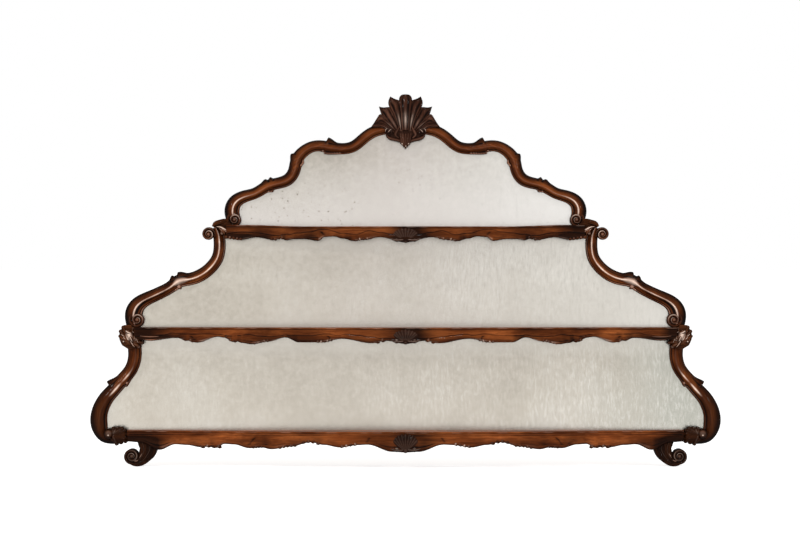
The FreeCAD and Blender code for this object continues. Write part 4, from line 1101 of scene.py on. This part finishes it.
def walnut(name, tones, gloss, carved=True, coat=THIN_COAT):
    """French-polished walnut: streaked figure, pores, patina and painted shade in the hollows, and painted
    highlights on the ridges.
    """
    nodes = Nodes(bpy.data.materials.new(name))
    dark, mid, light = tones
    vector = nodes.attribute("grain")["Vector"] if carved else nodes.place()
    figure = nodes.noise(vector, (6, 55, 55), detail=5)
    cloud = nodes.noise(vector, (9, 16, 16), (3.1, 0.7, 1.9), 3)
    pores = nodes.noise(vector, (60, 900, 900), detail=2)
    fine = nodes.noise(vector, (14, 260, 260), (0.4, 2.3, 5.1), 3)
    tone = nodes.math("ADD", nodes.times(figure, 0.5), nodes.times(cloud, 0.3))
    tone = nodes.math("ADD", tone, nodes.times(fine, 0.2))
    colour = nodes.ramp(tone, [(0.34, dark), (0.48, mid), (0.64, light)])
    colour = nodes.mix(nodes.span(pores, 0.56, 0.7, 0, 0.55), colour, dark)
    rough = nodes.span(cloud, 0.3, 0.7, gloss, gloss + 0.12)
    if carved:
        # Painted shade: ambient occlusion darkens the hollows, together with the patina and painted shade
        # of the pieces
        hollow = nodes.feed(nodes.add("ShaderNodeAmbientOcclusion", samples=8), Distance=HOLLOW_REACH)
        painted_shade = nodes.span(hollow.outputs["AO"], 0.35, 0.85, 1, 0)
        depth = nodes.math("MAXIMUM", nodes.attribute("patina")["Fac"], nodes.times(painted_shade, 0.7))
        colour = nodes.mix(depth, colour, PATINA_AND_SHADE)
        # Painted highlights: a pale colour where the pieces carry them
        worn = nodes.math("POWER", nodes.attribute("burnish")["Fac"], 1.6)
        colour = nodes.mix(nodes.times(worn, nodes.span(cloud, 0.3, 0.55, 0.6, 1)), colour, PAINTED_HIGHLIGHT)
        rough = nodes.math("ADD", rough, nodes.times(depth, 0.3))
    nodes.feed(nodes.shader, Base_Color=colour, Roughness=rough, Specular_IOR_Level=0)
    nodes.feed(nodes.shader, Coat_Weight=coat[0], Coat_IOR=coat[1], Coat_Roughness=COAT_ROUGHNESS)
    nodes.bump(nodes.math("ADD", nodes.times(figure, 0.6), nodes.times(pores, 0.4)), 0.25, 0.0006)
    return nodes.owner


def old_mirror(name, box, level, spots, streaks, glow, ends, first, lower, rim):
    """Foxed antique mirror: hazy silver with clouds, dark specks, streaks that run down, and painted light
    that pales its middle and edges.
    """
    nodes = Nodes(bpy.data.materials.new(name))
    lowest, highest = box
    place = nodes.place()
    parts = nodes.feed(nodes.add("ShaderNodeSeparateXYZ"), Vector=place)
    across = nodes.span(parts.outputs["X"], -highest.x, highest.x)
    rise = nodes.span(parts.outputs["Z"], lowest.z, highest.z)
    cloud = nodes.noise(place, (5, 5, 5), detail=5)
    mottle = nodes.noise(place, (70, 70, 70), detail=5, roughness=0.7)
    colour = nodes.ramp(cloud, [(spot, (*(level * part for part in tone), 1)) for spot, tone in SILVER])
    colour = nodes.mix(nodes.span(mottle, 0.45, 0.7, 0, 0.45), colour, MOTTLE_PALE)
    colour = nodes.mix(nodes.span(mottle, 0.48, 0.3, 0, 0.3), colour, MOTTLE_DULL)

    # Slow changes: painted glow in the middle, paler lower part, tone at the right end, painted light at
    # the edges
    middle = nodes.math("ABSOLUTE", nodes.math("SUBTRACT", across, 0.5))
    bright = nodes.times(nodes.span(middle, 0.05, 0.32, 1, 0), nodes.span(cloud, 0.3, 0.6, 0.5, 1))
    colour = nodes.mix(nodes.times(bright, glow), colour, GLASS_PAINTED_GLOW)
    colour = nodes.mix(nodes.span(rise, 0.75, 0.1, 0, lower), colour, GLASS_LOW)
    right = nodes.span(nodes.math("ADD", across, nodes.times(cloud, 0.15)), first, 1.05, 0, 0.8)
    colour = nodes.mix(right, colour, ends)
    edges = (nodes.span(rise, 0.13, 0, 0, 0.2), nodes.span(rise, 0.75, 1, 0, rim))
    colour = nodes.mix(nodes.math("MAXIMUM", *edges), colour, GLASS_PAINTED_EDGE)

    # Streaks that run down, and short scratches
    lines = nodes.noise(place, (85, 85, 9), detail=5, roughness=0.6, distortion=1.2)
    side = nodes.span(across, 0.5, 0.75, 0.15, 1)
    scratch = nodes.noise(place, (230, 230, 60), (2, 0, 7), 3, 0.65)
    worn = nodes.times(nodes.span(across, 0.35, 0.6, 0.45, 1), nodes.span(cloud, 0.38, 0.6, 0.35, 1))
    for marks, start, end, strength, where, tone in (
            (lines, 0.52, 0.72, 1, side, STREAK_PALE), (lines, 0.42, 0.3, 0.7, side, STREAK_DIM),
            (scratch, 0.5, 0.68, 1.8, worn, SCRATCH_PALE), (scratch, 0.46, 0.3, 1.2, worn, SCRATCH_DULL)):
        share = nodes.times(nodes.span(marks, start, end, 0, strength * streaks), where)
        colour = nodes.mix(share, colour, tone)

    # Dark specks, mostly low down on the left
    cells = nodes.feed(nodes.add("ShaderNodeTexVoronoi"), Vector=place, Scale=120)
    size = nodes.noise(place, (70, 70, 70), (9, 2, 5), 1)
    speck = nodes.math("LESS_THAN", cells.outputs["Distance"], nodes.span(size, 0.4, 0.75, 0, 0.3))
    rare = nodes.math("GREATER_THAN", nodes.noise(place, (11, 11, 11), (1, 4, 2), 2), 0.39)
    low_down = nodes.times(nodes.span(rise, 0.3, 0.8, 1, 0.1), nodes.span(across, 0.45, 0.65, 1, 0.25))
    fox = nodes.times(nodes.times(speck, rare), nodes.times(low_down, spots))
    colour = nodes.mix(fox, colour, FOXING)
    rough = nodes.span(mottle, 0.3, 0.7, 0.17, 0.27)
    nodes.feed(nodes.shader, Base_Color=colour, Roughness=rough, Metallic=GLASS_METAL)
    nodes.bump(mottle, 0.04, 0.001)
    return nodes.owner


def plain_timber(name, dark, light):
    """Unpolished timber of the backboards and dowels."""
    nodes = Nodes(bpy.data.materials.new(name))
    place = nodes.place()
    grain = nodes.noise(place, (5, 60, 60), detail=5)
    fibre = nodes.noise(place, (40, 700, 700), detail=2)
    colour = nodes.ramp(grain, [(0.35, dark), (0.65, light)])
    colour = nodes.mix(nodes.span(fibre, 0.5, 0.75, 0, 0.4), colour, dark)
    nodes.feed(nodes.shader, Base_Color=colour, Roughness=nodes.span(grain, 0.3, 0.7, 0.6, 0.8))
    nodes.bump(fibre, 0.3, 0.0005)
    return nodes.owner


def brushed_steel(name):
    """Screw heads: dull steel with fine scratches."""
    nodes = Nodes(bpy.data.materials.new(name))
    scratch = nodes.noise(nodes.place(), (3000, 300, 300), detail=2)
    colour = nodes.ramp(scratch, [(0.3, STEEL_DARK), (0.7, STEEL_LIGHT)])
    rough = nodes.span(scratch, 0.3, 0.7, 0.3, 0.5)
    nodes.feed(nodes.shader, Base_Color=colour, Roughness=rough, Metallic=1)
    return nodes.owner


def dress():
    """Materials on the CAD nodes that stay, and carved pieces in the place of the rest."""
    polished = (WALNUT_DARK, WALNUT_MID, WALNUT_LIGHT)
    rails = walnut("walnut_rails", polished, 0.3)
    dim = walnut("walnut_crest", (CREST_DARK, CREST_MID, CREST_LIGHT), 0.32)
    deep = walnut("walnut_caps", (CAP_DARK, CAP_MID, CAP_LIGHT), 0.32)
    boards = walnut("walnut_boards", polished, 0.34, False, SHELF_COAT)
    timber = plain_timber("pale_timber", PINE_DARK, PINE_LIGHT)
    beech = plain_timber("beech", BEECH_DARK, BEECH_LIGHT)
    steel = brushed_steel("screw_steel")
    kept = {"rail_dowels": beech, "foot_dowels": beech, "shelf_screws": steel, "backboard_screws": steel}
    for tier in TIERS:
        kept[tier + "_shelf_board"] = boards
        kept[tier + "_back_rail"] = boards
        kept[tier + "_backboard"] = timber
        kept[tier + "_mirror"] = old_mirror(tier + "_old_mirror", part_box(tier + "_mirror"), **GLASS[tier])
    for node, material in kept.items():
        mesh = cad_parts[node].data
        mesh.materials.clear()
        mesh.materials.append(material)

    caps = {"bottom": carve_bottom_cap, "middle": carve_middle_cap, "top": carve_top_cap}
    carved = "carved_walnut"
    for tier in TIERS:
        carve_apron(tier).place(tier + "_apron_carved", [tier + "_apron"], "walnut", rails)
        carve_shell(tier).place(tier + "_shell_carved", [tier + "_apron_shell"], carved, dim)
        rail = carve_rail(tier)
        cap = caps[tier]()
        knots = np.array(RAIL_KNOTS[tier])
        lean = knots[-1, :2] - knots[0, :2]
        for side, sign in SIDES.items():
            rail.place(tier + "_rail_carved_" + side, [tier + "_rail_" + side], carved, rails, sign, lean)
            cap.place(tier + "_leaf_carved_" + side, [tier + "_corner_leaf_" + side], carved, deep, sign)
    upright = (0, 1)
    foot = carve_foot()
    leaf = carve_crest_leaf()
    for side, sign in SIDES.items():
        foot.place("foot_carved_" + side, ["scroll_foot_" + side], carved, deep, sign, upright)
        leaf.place("crest_leaf_carved_" + side, ["crest_leaf_" + side], carved, dim, sign)
    carve_crest_shell().place("crest_shell_carved", ["crest_shell"], carved, dim, 1, upright)
    carve_crest_drop().place("crest_drop_carved", ["crest_drop"], carved, dim, 1, upright)


def white_rays(nodes):
    """Rays that show the white background: those of the camera, of gloss and of glass."""
    path = nodes.add("ShaderNodeLightPath").outputs
    seen = nodes.math("MAXIMUM", path["Is Camera Ray"], path["Is Glossy Ray"])
    return nodes.math("MAXIMUM", seen, path["Is Transmission Ray"])


def set_world():
    """White to look at, and a soft fill for the object."""
    world = bpy.data.worlds.new("studio")
    bpy.context.scene.world = world
    nodes = Nodes(world)
    fill = nodes.feed(nodes.tree.nodes["Background"], Color=FILL_COLOUR, Strength=FILL_STRENGTH)
    white = nodes.feed(nodes.add("ShaderNodeBackground"), Color=(1, 1, 1, 1), Strength=1)
    mix = nodes.add("ShaderNodeMixShader")
    nodes.fill(mix, white_rays(nodes), fill.outputs[0], white.outputs[0])
    nodes.feed(nodes.tree.nodes["World Output"], Surface=mix.outputs[0])


def set_floor():
    """Pale floor that keeps the shadow of the object."""
    mesh = bpy.data.meshes.new("floor")
    corners = [(x * FLOOR_REACH, y * FLOOR_REACH, 0) for x, y in ((-1, -1), (1, -1), (1, 1), (-1, 1))]
    mesh.from_pydata(corners, [], [(0, 1, 2, 3)])
    floor = add_object("floor", mesh)
    nodes = Nodes(bpy.data.materials.new("pale_floor"))
    nodes.tree.nodes.remove(nodes.shader)
    paint = nodes.feed(nodes.add("ShaderNodeBsdfDiffuse"), Color=FLOOR_PAINT)
    glow = nodes.feed(nodes.add("ShaderNodeEmission"), Strength=nodes.times(white_rays(nodes), FLOOR_GLOW))
    both = nodes.fill(nodes.add("ShaderNodeAddShader"), paint.outputs[0], glow.outputs[0])
    nodes.feed(nodes.tree.nodes["Material Output"], Surface=both.outputs[0])
    mesh.materials.append(nodes.owner)


def set_lights():
    """Soft lights that face the object."""
    for name, place, size, power, colour in SOFTBOXES:
        lamp = bpy.data.lights.new(name, "AREA")
        lamp.shape = "SQUARE"
        lamp.size = size
        lamp.energy = power
        lamp.color = colour
        x, y, z = np.array(LIGHT_AIM) - np.array(place)
        box = add_object(name, lamp)
        box.location = place
        box.rotation_euler = (math.atan2(math.hypot(x, y), -z), 0, math.pi + math.atan2(x, -y))


def set_camera():
    """Camera straight before the rails."""
    camera = bpy.data.cameras.new("camera")
    camera.sensor_width = CAMERA_SENSOR
    camera.lens = CAMERA_SENSOR * CAMERA_DISTANCE / CAMERA_SPAN
    view = add_object("camera", camera)
    view.location = (CAMERA_X, BACK_Y - 0.5 * RAIL_DEPTH * MM - CAMERA_DISTANCE, CAMERA_Z)
    view.rotation_euler = (0.5 * math.pi, 0, 0)
    bpy.context.scene.camera = view


dress()
set_world()
set_floor()
set_lights()
set_camera()
bpy.context.scene.view_settings.view_transform = "Standard"
